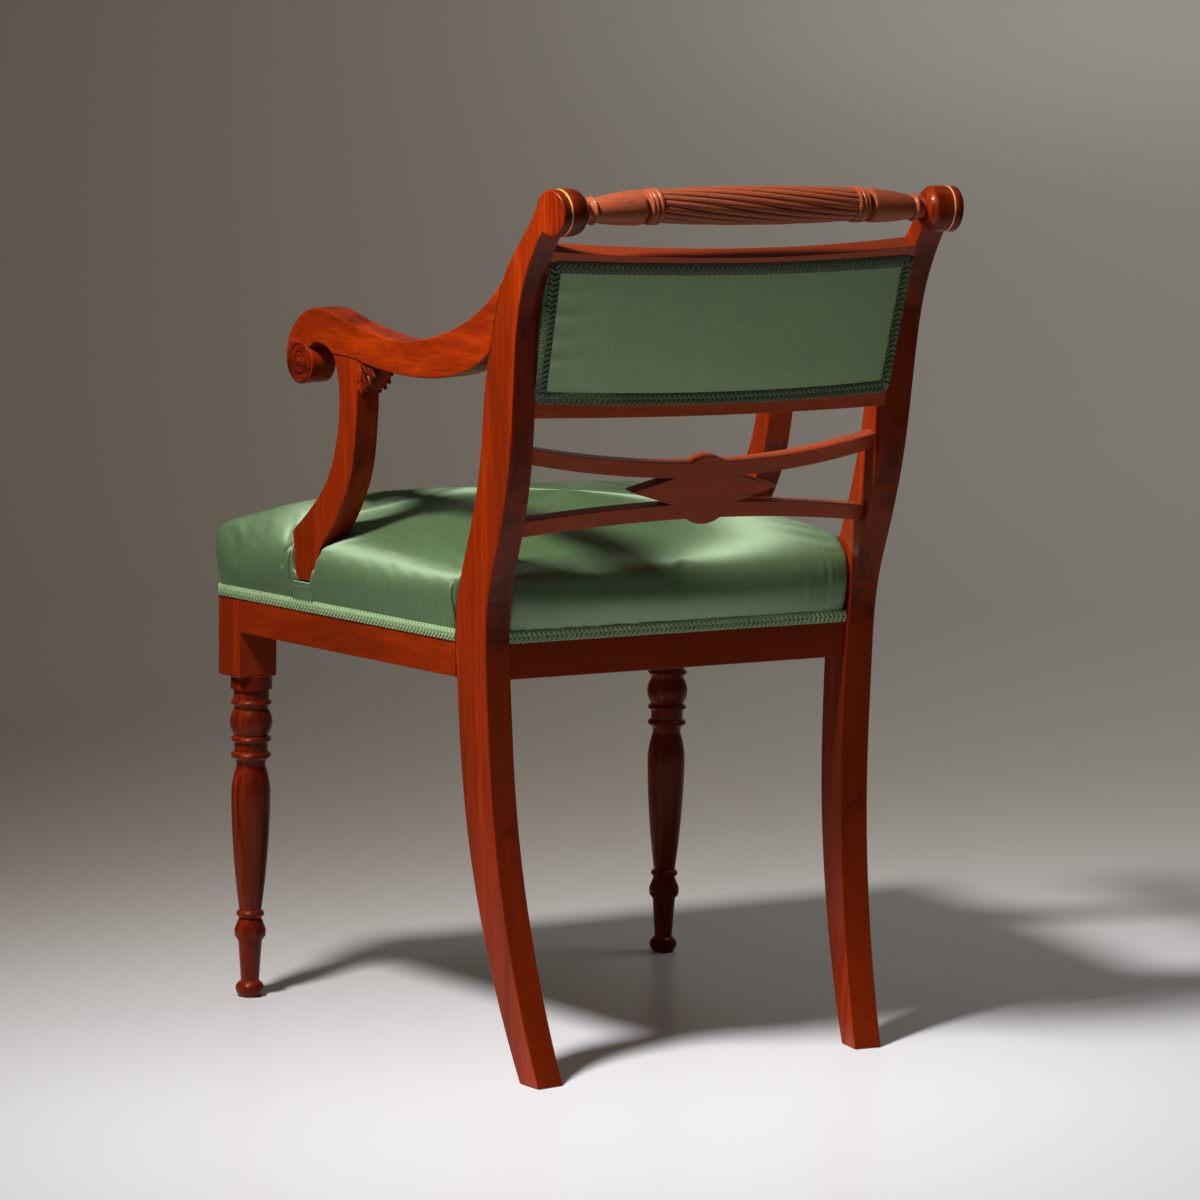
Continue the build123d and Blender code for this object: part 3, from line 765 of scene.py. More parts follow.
def satin(name, down, dark, light, combed):
    """Satin whose threads run across X; on faces marked as flanks they run down, across Y."""
    finish = Finish(name)
    flank = finish.mark("flank")
    middle = (1.0, thread_draw, thread_draw) if down else (1.0, 1.0, thread_draw)
    slubs = [finish.grain(slub_size, stretch, 2) for stretch in (middle, flank_draw)]
    floats = [finish.grain(float_size, stretch, 1) for stretch in (middle, flank_draw)]
    slubs = slubs[0] + flank * (slubs[1] - slubs[0])
    floats = floats[0] + flank * (floats[1] - floats[0])
    wash = finish.grain(9, (1.0, 1.0, 1.0), 2)
    shade = 0.40 * slubs + 0.25 * floats + 0.35 * wash
    return finish.close({
        "Base Color": finish.between(shade, dark, light),
        "Roughness": 0.44 + 0.08 * floats + 0.30 * flank,
        "Normal": finish.bump(0.4, 0.3, floats + 0.4 * slubs),
        "Metallic": 0.30,
        "IOR": 1.85,
        "Specular IOR Level": 0.9,
        "Specular Tint": satin_gloss,
        "Anisotropic": combed,
    })


seat_satin = satin("seat_satin", True, (0.040, 0.076, 0.028), (0.110, 0.185, 0.080), 0.9)
# The panel's satin is much lighter than the seat's: painted light for the sheen it catches.
panel_satin_painted_light = satin("panel_satin_painted_light", False, (0.084, 0.146, 0.050), (0.222, 0.345, 0.142), 0.0)
print("satin finishes:", seat_satin.name, panel_satin_painted_light.name)

# %% [markdown]
# ## A pad that swells
# A stuffed pad is a skin under pressure. The recipe: fill the CAD pad to a plain closed form, remesh it to
# even little squares, hold what is tacked or lies against wood, and let Blender's cloth blow up the rest
# for twenty frames. A cap on the movement keeps the pad near its measured size.

# %% Swell a pad
swell_frames = 20
pad_pressure = 4.0


def settle(piece):
    """Applies a piece's modifiers by making the evaluated mesh its own."""
    ready = piece.evaluated_get(bpy.context.evaluated_depsgraph_get())
    mesh = bpy.data.meshes.new_from_object(ready)
    piece.modifiers.clear()
    old = piece.data
    piece.data = mesh
    bpy.data.meshes.remove(old)


def remeshed(name, shape, size):
    """A new object whose mesh is an even skin over the shape."""
    pad = object_from(name, shape)
    skin = pad.modifiers.new("skin", "REMESH")
    skin.mode = "VOXEL"
    skin.voxel_size = size
    settle(pad)
    return pad


def shaped(pad, change):
    """Runs a change on a pad's mesh."""
    shape = bmesh.new()
    shape.from_mesh(pad.data)
    change(shape)
    shape.to_mesh(pad.data)
    shape.free()


def swell(pad, held, cap):
    start = [v.co.copy() for v in pad.data.vertices]
    group = pad.vertex_groups.new(name="held")
    group.add([k for k, place in enumerate(start) if held(place)], 1.0, "REPLACE")
    cloth = pad.modifiers.new("swell", "CLOTH")
    cloth.settings.vertex_group_mass = "held"
    cloth.settings.use_pressure = True
    cloth.settings.uniform_pressure_force = pad_pressure
    cloth.settings.effector_weights.gravity = 0.0
    cloth.settings.mass = 0.3
    cloth.settings.quality = 5
    cloth.collision_settings.use_collision = False
    for number in range(1, swell_frames + 1):
        scene.frame_set(number)
    settle(pad)
    pad.vertex_groups.clear()
    for vert, place in zip(pad.data.vertices, start):
        moved = vert.co - place
        if moved.length > cap:
            vert.co = place + moved * (cap / moved.length)
    scene.frame_set(1)


def nearest_wood(names):
    """Search trees over the wood that a pad lies against."""
    trees = []
    for name in names:
        shape = merged_copy(name)
        trees.append(BVHTree.FromBMesh(shape))
        shape.free()
    return lambda place, reach: any(tree.find_nearest(place, reach)[0] is not None for tree in trees)


def halved(pad):
    """One subdivision, applied, so that small folds can be drawn on the result."""
    finer = pad.modifiers.new("finer", "SUBSURF")
    finer.levels = 1
    finer.render_levels = 1
    settle(pad)


def dress_pad(pad, node, material):
    for face in pad.data.polygons:
        face.use_smooth = True
    pad.data.materials.clear()
    pad.data.materials.append(material)
    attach(pad, "root")
    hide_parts(node)
    print(pad.name, len(pad.data.polygons), "faces")


print("pads swell for", swell_frames, "frames")

# %% [markdown]
# ## The seat
# The seat is stuffed up from webbing on top of the rails, and its satin is pulled down over them and
# trimmed just above their lower edge. The CAD pad is hollow over the rails, so two blocks fill it before
# the remesh; afterwards the bottom is cut off flat, turned in like a hem, and closed above the webbing.

# %% Stuff the seat
rail_line_x = 210.5
seat_back = 151.0
cover_edge = 411.0
bed_top = 445.0
stile_front_y = 112.0
seat_voxel = 4.6 * mm
smooth_rounds = 2
tack_line = 0.424
seat_cap = 7 * mm
hem_wide = 2.4 * mm


def rail_edge(y):
    """Half the width of the seat frame at a depth."""
    return rail_line_x - math.tan(toe) * (y - heel.y)


def filling_block(shape, front, back, inset, half_back=None):
    """A block inside the rails that follows the seat's plan."""
    block = bmesh.ops.create_cube(shape, size=1.0)["verts"]
    for vert in block:
        depth = front if vert.co.y < 0 else back
        half = half_back if half_back else rail_edge(depth) - inset
        height = cover_edge - 6 if vert.co.z < 0 else bed_top + 3
        vert.co = Vector((math.copysign(half, vert.co.x), depth, height)) * mm


def smoothed(shape):
    for _ in range(smooth_rounds):
        bmesh.ops.smooth_vert(shape, verts=shape.verts, factor=0.5, use_axis_x=True, use_axis_y=True,
                              use_axis_z=True)


cushion = merged_copy("seat_pad")
filling_block(cushion, seat_front + 2, stile_front_y - 2, 2)
filling_block(cushion, stile_front_y - 20, seat_back - 2, 2, 186)
seat = remeshed("seat_satin_pad", cushion, seat_voxel)
shaped(seat, smoothed)
by_wood = nearest_wood(["rear_leg_left", "rear_leg_right", "arm_support_left", "arm_support_right"])
swell(seat, lambda place: place.z < tack_line or by_wood(place, 5 * mm), seat_cap)
halved(seat)
print(seat.name, len(seat.data.polygons), "faces before its folds")

# %% [markdown]
# ## Folds of the seat
# Satin that is pulled down and tacked keeps small straight pulls above the tacks, and a few soft folds run
# down behind beside the stiles. At each front corner it is pleated to a crisp edge, and in front of each
# foot it is slit. All of these are small moves of the pad's skin along its own normal.

# %% Pulls and corners
corner_spot = Vector((272.0, -284.0, 474.0))
corner_reach = 30.0
corner_pull = Vector((3.5, -3.2, 6.0))
pull_low = 421.0
pull_run = 48.0
broad_pull = (11.0, 90.0, 0.75)
fine_pull = (4.5, 60.0, 0.45)
rear_folds = [(-160.0, 0.5), (-170.0, 0.9), (-177.0, 0.6), (168.0, 0.6)]
fold_wide = 2.6
foot_span = (-381.0, -349.0)
foot_sole = 440.0
foot_sunk = 3.0
slit_deep = 5.0
slit_wide = 1.9
slit = [(-388.0, 473.0), (-393.0, 465.0), (-395.0, 454.0)]
from_side = side_frame.inverted()


def side_place(place):
    """Millimetres in the side frame for a place on either side of the chair."""
    return from_side @ Vector((abs(place.x), place.y, place.z)) / mm


def out_way_at(place):
    """The way out of the side that a place is on."""
    return Vector((math.copysign(out_way.x, place.x), out_way.y, out_way.z))


def crisp_corners(shape):
    for vert in shape.verts:
        way = math.copysign(1, vert.co.x)
        spot = Vector((way * vert.co.x, vert.co.y, vert.co.z)) / mm
        share = hump((spot - corner_spot).length, corner_reach)
        vert.co += Vector((way * corner_pull.x, corner_pull.y, corner_pull.z)) * (share * mm)


def pull_at(run, height, seed):
    """Lift of the small straight pulls above the tacks, in millimetres."""
    fade = max(0.0, min(1.0, 1 - (height - pull_low) / pull_run))
    lift = 0.0
    for (wide, tall, high), shift in ((broad_pull, 0), (fine_pull, 9)):
        lift += high * noise.noise(Vector((run / wide, height / tall, seed + shift)))
    return fade * lift


def slit_depth(spot):
    """Depth of the short slit where the satin is cut in front of the foot."""
    reach = 9.0
    for a, b in zip(slit, slit[1:]):
        a, b = Vector(a), Vector(b)
        share = max(0.0, min(1.0, (spot.xy - a).dot(b - a) / (b - a).length_squared))
        reach = min(reach, (spot.xy - a - (b - a) * share).length)
    return slit_deep * hump(reach, slit_wide)


def small_folds(shape):
    shape.normal_update()
    for vert in shape.verts:
        spot = side_place(vert.co)
        x, height = vert.co.x / mm, vert.co.z / mm
        if vert.normal.y > 0.5:
            lift = pull_at(x, height, 2.0)
            fade = min(1.0, (vert.normal.y - 0.5) / 0.45)
            lift += fade * sum(high * hump(x - at, fold_wide) for at, high in rear_folds)
        elif vert.normal.y < -0.5:
            lift = pull_at(x, height, 5.0)
        else:
            lift = pull_at(spot.x, height, 8.0) - slit_depth(spot)
        vert.co += vert.normal * (lift * mm)
        if foot_span[0] < spot.x < foot_span[1] and spot.y < foot_sole and spot.z > -foot_sunk:
            vert.co -= out_way_at(vert.co) * ((spot.z + foot_sunk) * mm)


shaped(seat, crisp_corners)
shaped(seat, small_folds)
print("folds drawn on", seat.name)

# %% [markdown]
# ## Rolled edges
# Where the satin meets a support it is cut, and the cut edges are rolled under beside the foot, with a
# small patch let in below; another roll fills the corner in front of each stile. A roll is a grid bent to
# a tube along a curve that lies on the pad; its last number is its thickness.

# %% Rolls and the patch under a foot
patch_middle = 430.0
patch_half = 10.0
patch_seams = (434.5, 438.6)
seam_wide = 0.8
seam_high = 0.7
patch_thick = 0.9 * mm
rolls = [
    [(-384.5, 478.0), (-390.0, 462.0), (-386.0, 438.0), (-383.0, 420.0), 2.6],
    [(-333.0, 478.0), (-345.0, 462.0), (-348.0, 440.0), (-349.0, 420.0), 2.9],
    [(-116.5, 470.0), (-118.5, 455.0), (-118.5, 440.0), (-117.0, 421.0), 2.2],
]
roll_steps = 25
roll_sides = 12
roll_flat = 1.25


def pad_surface(tree, u, v):
    """How far out the pad lies at a place in the left side frame, in millimetres."""
    hit = tree.ray_cast(side_point(u, v, 60), -out_way)[0]
    return (from_side @ hit).z / mm if hit else 0.0


def roll(tree, low, middle, upper, high, thick):
    """A rolled edge of satin: a grid bent into a tube that follows a curve on the pad."""
    ends = [Vector((u, v, 0)) for u, v in (low, middle, upper, high)]
    line = interpolate_bezier(*ends, roll_steps + 3)
    line = [side_point(p.x, p.y, pad_surface(tree, p.x, p.y) - 0.2) for p in line]
    tube = bmesh.new()
    bmesh.ops.create_grid(tube, x_segments=roll_sides, y_segments=roll_steps, size=1.0)
    for vert in tube.verts:
        k = max(1, min(roll_steps + 1, round((vert.co.y + 1) / 2 * roll_steps) + 1))
        run = (line[k + 1] - line[k - 1]).normalized()
        across = out_way.cross(run).normalized()
        angle = vert.co.x * math.pi
        reach = thick * (1 - 0.9 * abs(vert.co.y) ** 5) * mm
        round_way = across * (roll_flat * math.cos(angle)) + run.cross(across) * math.sin(angle)
        vert.co = line[k] + round_way * reach
    bmesh.ops.remove_doubles(tube, verts=tube.verts, dist=0.02 * mm)
    close_holes(tube)
    return tube


def foot_patch():
    """The patch of satin under the foot, with two seams across it."""
    patch = bmesh.new()
    bmesh.ops.create_grid(patch, x_segments=24, y_segments=20, size=1.0)
    for vert in patch.verts:
        u = sum(foot_span) / 2 + vert.co.x * (foot_span[1] - foot_span[0] + 3) / 2
        v = patch_middle + vert.co.y * patch_half
        seam = sum(hump(v - level, seam_wide) for level in patch_seams)
        vert.co = side_point(u, v, 1.0 + seam_high * seam)
    thicken(patch, patch.faces[:], patch_thick)
    return patch


def rolled_edges(shape):
    tree = BVHTree.FromBMesh(shape)
    for way in sides.values():
        parts = [roll(tree, *path) for path in rolls] + [foot_patch()]
        for part in parts:
            mirror_side(part, way)
            add_to(shape, part)


print("rolls on each side:", len(rolls))

# %% [markdown]
# ## Hem
# The skin is now cut off at its tacks, turned in and closed, and gets its rolls. Its sides are marked, so
# that the threads of the satin can run down there as well.


# %% Hem and dress the seat
def hem(shape):
    """Cuts the bottom flat, turns the edge in and lifts the inside up to the webbing."""
    cut_flat(shape, (0, 0, (cover_edge + 0.4) * mm), upward, 0.01 * mm, off=True)
    bottom = close_holes(shape)
    bmesh.ops.inset_region(shape, faces=bottom, thickness=hem_wide, use_even_offset=True)
    inside = {v for face in bottom for v in face.verts}
    for vert in inside:
        vert.co.z = (bed_top + 0.6) * mm
    bmesh.ops.triangulate(shape, faces=bottom)


def mark_flanks(shape):
    """Says how far each place on the seat looks to the side."""
    shape.normal_update()
    flank = shape.verts.layers.float.new("flank")
    for vert in shape.verts:
        vert[flank] = max(0.0, min(1.0, (abs(vert.normal.x) - 0.45) / 0.25))


for change in (hem, rolled_edges, mark_flanks):
    shaped(seat, change)
dress_pad(seat, "seat_pad", seat_satin)

# %% [markdown]
# ## Back panel
# Between the two bowed rails the back is covered with satin on both sides: flat and tight behind, padded
# in front. The outside cover starts as a flat grid, as cloth is cut, and is laid on the bow of the back.
# Short pulls run in from the edges where the tacks hold it.

# %% Cover the back
panel_origin = Vector((0.0, 201.33, 642.01))
panel_lean = math.radians(14.0)
panel_height = 134.37
back_bow = 20.0
back_half = 215.0
bow_radius = (back_half ** 2 + back_bow ** 2) / (2 * back_bow)
cover_thick = 2.0
panel_frame = Matrix.Translation(panel_origin * mm) @ Matrix.Rotation(-panel_lean, 4, "X")
cover_pulls = [(1, 0.30, 1.5), (1, 0.46, 1.0), (1, 0.62, 1.3), (1, 0.78, 0.8), (-1, 0.36, 0.7),
               (-1, 0.66, 0.8)]
cover_pillow = 1.2


def panel_half(up):
    """Half the width of the panel, which follows the stiles."""
    return low_half + (high_half - low_half) * up / panel_height


def panel_point(x, rear, up):
    """A place in the room from millimetres across, behind and up the panel."""
    bow = back_bow - bow_radius + math.sqrt(bow_radius ** 2 - x ** 2)
    return panel_frame @ (Vector((x, rear + bow, up)) * mm)


def panel_out(x):
    """Which way the back of the panel faces at a distance from its middle."""
    lean = x / bow_radius
    return (panel_frame.to_3x3() @ Vector((lean, math.sqrt(1 - lean ** 2), 0))).normalized()


to_panel = panel_frame.inverted()
cover_spots = [to_panel @ v.co / mm for v in nodes["back_cover"].data.vertices]
low_half = max(p.x for p in cover_spots if p.z < 1)
high_half = max(p.x for p in cover_spots if p.z > panel_height - 1)


def pull_depth(across, up):
    """How far the small tension folds lift the cloth, with across from -1 to 1 and up from 0 to 1."""
    lift = 0.0
    for way, level, strength in cover_pulls:
        fade = hump(1 - way * across, 0.16)
        slant = level + 0.10 * (1 - way * across)
        lift += strength * fade * hump(up - slant, 0.035)
    return 0.45 * lift


cover = bmesh.new()
bmesh.ops.create_grid(cover, x_segments=170, y_segments=58, size=1.0)
for vert in cover.verts:
    across, up = vert.co.x, (vert.co.y + 1) / 2
    height = up * panel_height
    pillow = cover_pillow * (1 - across ** 4) * (1 - (2 * up - 1) ** 4)
    vert.co = panel_point(across * panel_half(height), pillow + pull_depth(across, up), height)
thicken(cover, cover.faces[:], cover_thick * mm)
back_cover = piece_from("back_cover_satin", cover, panel_satin_painted_light, ["back_cover"])
print(back_cover.name, round(low_half, 1), round(high_half, 1), "half widths in mm")

# %% [markdown]
# ## Padded front of the back
# The front of the panel is stuffed like the seat, only thinner. It goes through the same steps: copy,
# remesh, swell with its rim held, and one subdivision.

# %% Stuff the back
back_voxel = 4.2 * mm
back_cap = 5 * mm
pad_shape = merged_copy("back_pad")
back_pad = remeshed("back_pad_satin", pad_shape, back_voxel)
by_back_wood = nearest_wood(["rear_leg_left", "rear_leg_right", *back_rails, "back_cover"])
swell(back_pad, lambda place: by_back_wood(place, 6 * mm), back_cap)
halved(back_pad)
dress_pad(back_pad, "back_pad", panel_satin_painted_light)

# %% [markdown]
# ## Braid
# A narrow braid hides the tacks: two rows of slanting strands that meet in a herringbone, with a row of
# tiny loops along each edge. One strand is a small drawn-out ball; a loop of code sets strand after strand
# along a path, on top of a thin flat tape.


# %% Braid finish
def braid_yarn(name, dark, light):
    finish = Finish(name)
    twist = finish.grain(900, (1.0, 1.0, 1.0), 2)
    wash = finish.grain(40, (1.0, 1.0, 1.0), 2)
    colour = finish.between(0.6 * twist + 0.4 * wash, dark, light)
    return finish.close({
        "Base Color": colour,
        "Roughness": 0.50 + 0.2 * twist,
        "Normal": finish.bump(0.3, 0.2, twist),
        "Sheen Weight": 0.2,
        "Sheen Tint": (0.6, 0.8, 0.55, 1.0),
    })


seat_yarn = braid_yarn("seat_yarn", (0.085, 0.145, 0.055), (0.270, 0.380, 0.190))
# The panel's yarn is a much darker copy of the seat's: painted shade for a braid that gets less light.
panel_yarn_painted_shade = braid_yarn("panel_yarn_painted_shade", (0.020, 0.036, 0.011), (0.075, 0.110, 0.042))
print("yarns:", seat_yarn.name, panel_yarn_painted_shade.name)

# %% [markdown]
# ## Laying strands
# The maker walks along a path at an even pitch. At each step it lays two slanting strands and, at the
# edges, the small loops. The strands are gathered in short runs, which is quicker than one at a time.

# %% Braid maker
braid_width = 11.0
braid_pitch = 5.2
strand_long = 7.6
strand_wide = 3.1
strand_high = 2.5
strand_slant = math.radians(52)
strand_out = 2.5
loop_long = 2.1
loop_thick = 1.9
tape_thick = 0.9
strands_a_run = 6


def spaced_along(path, pitch, closed):
    """Places at an even pitch along a path of (place, facing) pairs, with the way it runs there."""
    ring = path + path[:1] if closed else path
    lengths = [(b[0] - a[0]).length for a, b in zip(ring, ring[1:])]
    count = round(sum(lengths) / (pitch * mm))
    step = sum(lengths) / count
    found = []
    done, k = 0.0, 0
    for n in range(count):
        target = (n + 0.5) * step
        while done + lengths[k] < target:
            done += lengths[k]
            k += 1
        share = (target - done) / lengths[k]
        (a, out_a), (b, out_b) = ring[k], ring[k + 1]
        found.append((a.lerp(b, share), (b - a).normalized(), out_a.lerp(out_b, share).normalized()))
    return found


def strand_at(shape, centre, along, out, long, wide, high):
    """One small drawn-out ball lying on the tape."""
    side = out.cross(along).normalized()
    turn = Matrix((along * (long / 2), side * (wide / 2), out * (high / 2))).transposed().to_4x4()
    place = Matrix.Translation(centre) @ turn @ Matrix.Rotation(math.pi / 2, 4, "Y")
    bmesh.ops.create_uvsphere(shape, u_segments=8, v_segments=6, radius=mm, matrix=place)


def tape(shape, path, closed):
    """The flat tape under the strands: an edge drawn along the path, then given its thickness."""
    reach = braid_width / 2 * mm
    rows = []
    for k, (place, out) in enumerate(path):
        before = path[k - 1][0] if k or closed else place
        after = path[(k + 1) % len(path)][0] if k + 1 < len(path) or closed else place
        side = out.cross((after - before).normalized()).normalized()
        rows.append([shape.verts.new(place + side * (way * reach)) for way in (-1, 1)])
    pairs = list(zip(rows, rows[1:] + (rows[:1] if closed else [])))
    faces = [shape.faces.new((a[0], b[0], b[1], a[1])) for a, b in pairs]
    bmesh.ops.recalc_face_normals(shape, faces=faces)
    if sum(face.normal.dot(out) for face, (_, out) in zip(faces, path)) < 0:
        bmesh.ops.reverse_faces(shape, faces=faces)
    bmesh.ops.solidify(shape, geom=faces, thickness=-tape_thick * mm)


def braid(name, path, node, yarn, closed=False):
    shape = bmesh.new()
    tape(shape, path, closed)
    run = bmesh.new()
    for k, (place, along, out) in enumerate(spaced_along(path, braid_pitch, closed)):
        side = out.cross(along).normalized()
        lifted = place + out * ((tape_thick + 0.25) * mm)
        for way in (-1, 1):
            lean = along * math.cos(strand_slant) + side * (way * math.sin(strand_slant))
            middle = lifted + side * (way * strand_out * mm)
            strand_at(run, middle, lean, out, strand_long, strand_wide, strand_high)
            edge = place + side * (way * (braid_width / 2 - 0.4) * mm) + out * (0.7 * mm)
            for shift in (-0.25, 0.25):
                loop = edge + along * (shift * braid_pitch * mm)
                strand_at(run, loop, along, out, loop_long, loop_thick, loop_thick)
        if k % strands_a_run == strands_a_run - 1:
            add_to(shape, run)
            run = bmesh.new()
    add_to(shape, run)
    made = piece_from(name, shape, yarn, [node])
    print(made.name, len(made.data.polygons), "faces")
    return made


print("strands every", braid_pitch, "mm")

# %% [markdown]
# ## Braid round the seat and the back
# The seat's braid runs from one stile round the front to the other, and a second length crosses the back
# between the stiles. The panel has a closed ring of it on each face.

# %% Lay the braid
braid_middle = (cover_edge + 5.0) * mm
corner_round = 3.0
ring_overlap = 1.2
ring_steps = (40, 12, 40, 12)
front_level = -11.8


def rounded_corner(corner, before, after, radius):
    """Three places that take a path round a corner."""
    to_before = (before - corner).normalized() * (radius * mm)
    to_after = (after - corner).normalized() * (radius * mm)
    middle = corner + (to_before + to_after) * 0.3
    return [corner + to_before, middle, corner + to_after]


def seat_corner(x_way, y):
    return Vector((x_way * rail_edge(y) * mm, y * mm, braid_middle))


left_start, right_end = seat_corner(1, stile_front_y + 0.4), seat_corner(-1, stile_front_y + 0.4)
left_corner, right_corner = seat_corner(1, seat_front), seat_corner(-1, seat_front)
side_out = Vector((math.cos(toe), math.sin(toe), 0))
front_out = Vector((0, -1, 0))
other_out = Vector((-side_out.x, side_out.y, 0))
seat_path = [(left_start, side_out)]
for spots, first, last in (
    (rounded_corner(left_corner, left_start, right_corner, corner_round), side_out, front_out),
    (rounded_corner(right_corner, left_corner, right_end, corner_round), front_out, other_out),
):
    seat_path += [(spot, first.lerp(last, share).normalized()) for spot, share in zip(spots, (0, 0.5, 1))]
seat_path.append((right_end, other_out))
braid("seat_braid_front", seat_path, "seat_gimp_front", seat_yarn)

back_half_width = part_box("seat_gimp_back")[1].x
back_ends = [Vector((way * back_half_width, seat_back * mm, braid_middle)) for way in (-1, 1)]
back_line = [(end, rearward) for end in back_ends]
braid("seat_braid_back", back_line, "seat_gimp_back", seat_yarn)


def panel_ring(rear, way):
    """The middle line of the braid round the panel, on its back or its front."""
    inset = braid_width / 2 - ring_overlap
    low, high = inset, panel_height - inset
    corners = [(-1, low), (1, low), (1, high), (-1, high), (-1, low)]
    path = []
    for start, stop, steps in zip(corners, corners[1:], ring_steps):
        for k in range(steps):
            across, up = Vector(start).lerp(Vector(stop), k / steps)
            x = across * (panel_half(up) - inset)
            path.append((panel_point(x, rear, up), panel_out(x) * way))
    return path


braid("panel_braid_rear", panel_ring(0.0, 1), "back_gimp_rear", panel_yarn_painted_shade, closed=True)
braid("panel_braid_front", panel_ring(front_level, -1), "back_gimp_front", panel_yarn_painted_shade, closed=True)

# %% [markdown]
# ## Under the seat
# From below, a seat like this shows jute webbing, woven over and under, with hessian above it. The straps
# are grids that rise and fall by their own thickness at each crossing, in opposite steps for the two ways.

# %% Webbing and hessian
web_width = 45.0
web_pitch = 90.0
web_margin = 63.0
web_count = 4
web_thick = 1.5
web_level = 442.0
web_wave = 1.0
hessian_lines = (28, 22)


def jute(name, light, dark, across):
    finish = Finish(name)
    place = finish.node("ShaderNodeTexCoord", out="Object")
    along = "X" if across == "Y" else "Y"
    warp, weft = [
        finish.node("ShaderNodeTexWave", {"bands_direction": way},
                    {"Vector": place, "Scale": size, "Distortion": 1.2})
        for way, size in ((across, 190), (along, 150))
    ]
    fuzz = finish.grain(700, (1.0, 1.0, 1.0), 3)
    colour = finish.between(0.4 * warp + 0.3 * weft + 0.3 * fuzz, dark, light)
    return finish.close({
        "Base Color": colour,
        "Roughness": 0.75 + 0.2 * fuzz,
        "Normal": finish.bump(0.6, 0.5, warp + weft),
    })


def strap(shape, length, across, wave):
    """A grid along X whose height follows wave, given its thickness."""
    before = len(shape.faces)
    for vert in bmesh.ops.create_grid(shape, x_segments=96, y_segments=4, size=0.5)["verts"]:
        x, y = vert.co.x * length, vert.co.y * web_width
        vert.co = across(Vector((x, y, web_level + web_wave * wave(x)))) * mm
    thicken(shape, shape.faces[before:], web_thick * mm)


web_front, web_back = seat_front + 14, seat_back - 14
web_spacing = (seat_back - seat_front - 6 - 2 * web_margin) / (web_count - 1)
straps = bmesh.new()
for k in range(web_count):
    sign = (-1) ** k
    y = seat_front + 3 + web_margin + k * web_spacing
    x = (k - (web_count - 1) / 2) * web_pitch
    strap(straps, 2 * (rail_edge(y) - 22), lambda p: Vector((p.x, p.y + y, p.z)),
          lambda run: sign * math.cos(math.pi * (run / web_pitch + 1.5)))
    middle = (web_front + web_back) / 2
    first = seat_front + 3 + web_margin - middle
    strap(straps, web_back - web_front, lambda p: Vector((x - p.y, p.x + middle, p.z)),
          lambda run: -sign * math.cos(math.pi * (run - first) / web_spacing))
webbing_jute = jute("webbing_jute", (0.42, 0.27, 0.13), (0.16, 0.085, 0.035), "Y")
webbing = piece_from("webbing_straps", straps, webbing_jute, ["seat_webbing"])
print(webbing.name, len(webbing.data.polygons), "faces")

hessian_shape = merged_copy("seat_hessian")
hessian_low, hessian_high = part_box("seat_hessian")
for axis, lines in enumerate(hessian_lines):
    for k in range(1, lines):
        cut = hessian_low.copy()
        cut[axis] += (hessian_high[axis] - hessian_low[axis]) * k / lines
        facing = [0, 0, 0]
        facing[axis] = 1
        cut_flat(hessian_shape, cut, facing, 0.01 * mm)
for vert in hessian_shape.verts:
    vert.co.z += 0.25 * mm * noise.noise(vert.co * 14)
hessian_cloth = jute("hessian_cloth", (0.36, 0.25, 0.14), (0.15, 0.095, 0.05), "X")
hessian = piece_from("hessian_sheet", hessian_shape, hessian_cloth, ["seat_hessian"])

# %% [markdown]
# ## Floor
# The chair stands on a wide sheet of backdrop paper that runs back and sweeps up into a wall, so there is
# no line where floor meets wall. Its colour carries painted shade for the fall-off of the light: white at
# the front, grey-brown farther back, and darker to the left than to the right.

# %% Backdrop paper
sweep_near = -9.0
sweep_bend = 3.2
sweep_radius = 1.6
sweep_top = 7.0
sweep_half = 16.0
paper_drop = 0.3 * mm
paper_near = (0.66, 0.66, 0.695)
# The far colours are painted shade, darker on the left, standing in for the fall-off of the light.
paper_left_painted_shade = (0.41, 0.37, 0.32)
paper_right_painted_shade = (0.52, 0.50, 0.455)
away = Vector((-math.sin(camera_yaw), -math.cos(camera_yaw), 0))
picture_right = Vector((-math.cos(camera_yaw), math.sin(camera_yaw), 0))


def sweep_point(across, run):
    """A place on the paper from a distance across the picture and a length along the paper."""
    bend_length = sweep_radius * math.pi / 2
    past = run - sweep_bend
    if past < 0:
        depth, height = run, 0.0
    elif past < bend_length:
        depth = sweep_bend + sweep_radius * math.sin(past / sweep_radius)
        height = sweep_radius * (1 - math.cos(past / sweep_radius))
    else:
        depth, height = sweep_bend + sweep_radius, sweep_radius + past - bend_length
    return picture_right * across + away * depth + Vector((0, 0, height - paper_drop))


paper = bmesh.new()
bmesh.ops.create_grid(paper, x_segments=2, y_segments=240, size=1.0)
for vert in paper.verts:
    run = sweep_near + (sweep_top - sweep_near) * (vert.co.y + 1) / 2
    vert.co = sweep_point(vert.co.x * sweep_half, run)
bmesh.ops.recalc_face_normals(paper, faces=paper.faces)
if sum(face.normal.z for face in paper.faces) < 0:
    bmesh.ops.reverse_faces(paper, faces=paper.faces)
floor = object_from("studio_floor", paper)


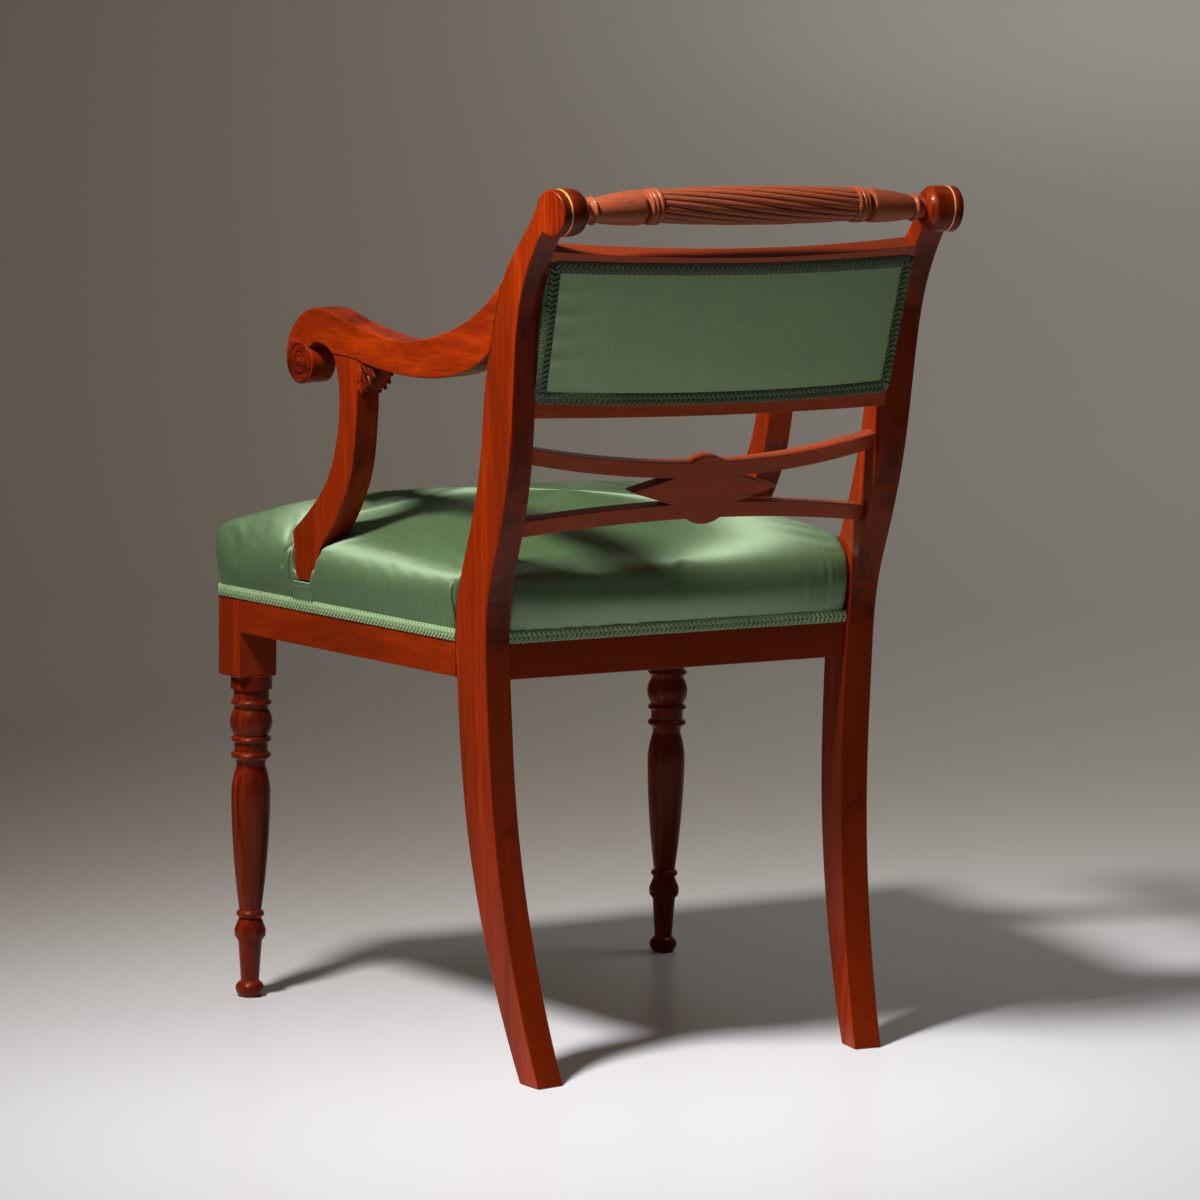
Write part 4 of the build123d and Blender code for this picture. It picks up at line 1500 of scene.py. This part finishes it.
def paper_painted_falloff():
    finish = Finish("paper_painted_falloff")
    place = finish.node("ShaderNodeTexCoord", out="Object")
    x = finish.node("ShaderNodeSeparateXYZ", {}, {0: place}, out="X")
    y = finish.node("ShaderNodeSeparateXYZ", {}, {0: place}, out="Y")
    depth = away.x * x + away.y * y
    right = picture_right.x * x + picture_right.y * y
    soft = {"interpolation_type": "SMOOTHSTEP"}
    # Painted shade: the paper darkens farther back and towards the left.
    painted_falloff = finish.node("ShaderNodeMapRange", soft, {0: depth - 0.55 * right, 1: -0.25, 2: 1.35})
    painted_sideways_shade = finish.node("ShaderNodeMapRange", soft, {0: right, 1: -1.4, 2: 1.4})
    far = finish.between(painted_sideways_shade, paper_left_painted_shade, paper_right_painted_shade)
    colour = finish.between(painted_falloff, paper_near, far)
    return finish.close({"Base Color": colour, "Roughness": 0.32, "Specular IOR Level": 0.3})


floor.data.materials.append(paper_painted_falloff())
print("paper:", len(floor.data.polygons), "faces")

# %% [markdown]
# ## Light
# One soft lamp stands high on the left, a little to the camera's side of the chair, so that its light
# passes in front of the leaning back and reaches the crown of the seat. A wide weak one fills in, and a
# third lights the paper behind.


# %% Lamps
def soft_lamp(name, place, aim, size, power, tint, spread=180):
    data = bpy.data.lights.new(name, "AREA")
    data.spread = math.radians(spread)
    data.shape = "DISK"
    data.size = size
    data.energy = power
    data.color = tint
    lamp = bpy.data.objects.new(name, data)
    lamp.location = place
    lamp.rotation_euler = (Vector(place) - Vector(aim)).to_track_quat("Z", "Y").to_euler()
    scene.collection.objects.link(lamp)


chair_middle = (0.0, 0.0, 0.45)
soft_lamp("key_lamp", (1.25, 0.35, 2.07), (0.02, 0.36, 0.40), 0.32, 21, (1.0, 0.98, 0.95), 84)
soft_lamp("fill_lamp", (-0.6, 4.2, 2.6), chair_middle, 2.0, 2, (1.0, 0.98, 0.96))
backdrop_place = away * 1.2 + picture_right * 1.6 + Vector((0, 0, 4.2))
backdrop_aim = away * 4.6 + picture_right * 0.8 + Vector((0, 0, 0.7))
soft_lamp("backdrop_lamp", backdrop_place, backdrop_aim, 2.5, 42, (1.0, 0.97, 0.92), 130)
world = bpy.data.worlds.new("studio")
world.use_nodes = True
sky = world.node_tree.nodes["Background"].inputs
sky["Color"].default_value = (0.20, 0.185, 0.165, 1.0)
sky["Strength"].default_value = 0.32
scene.world = world
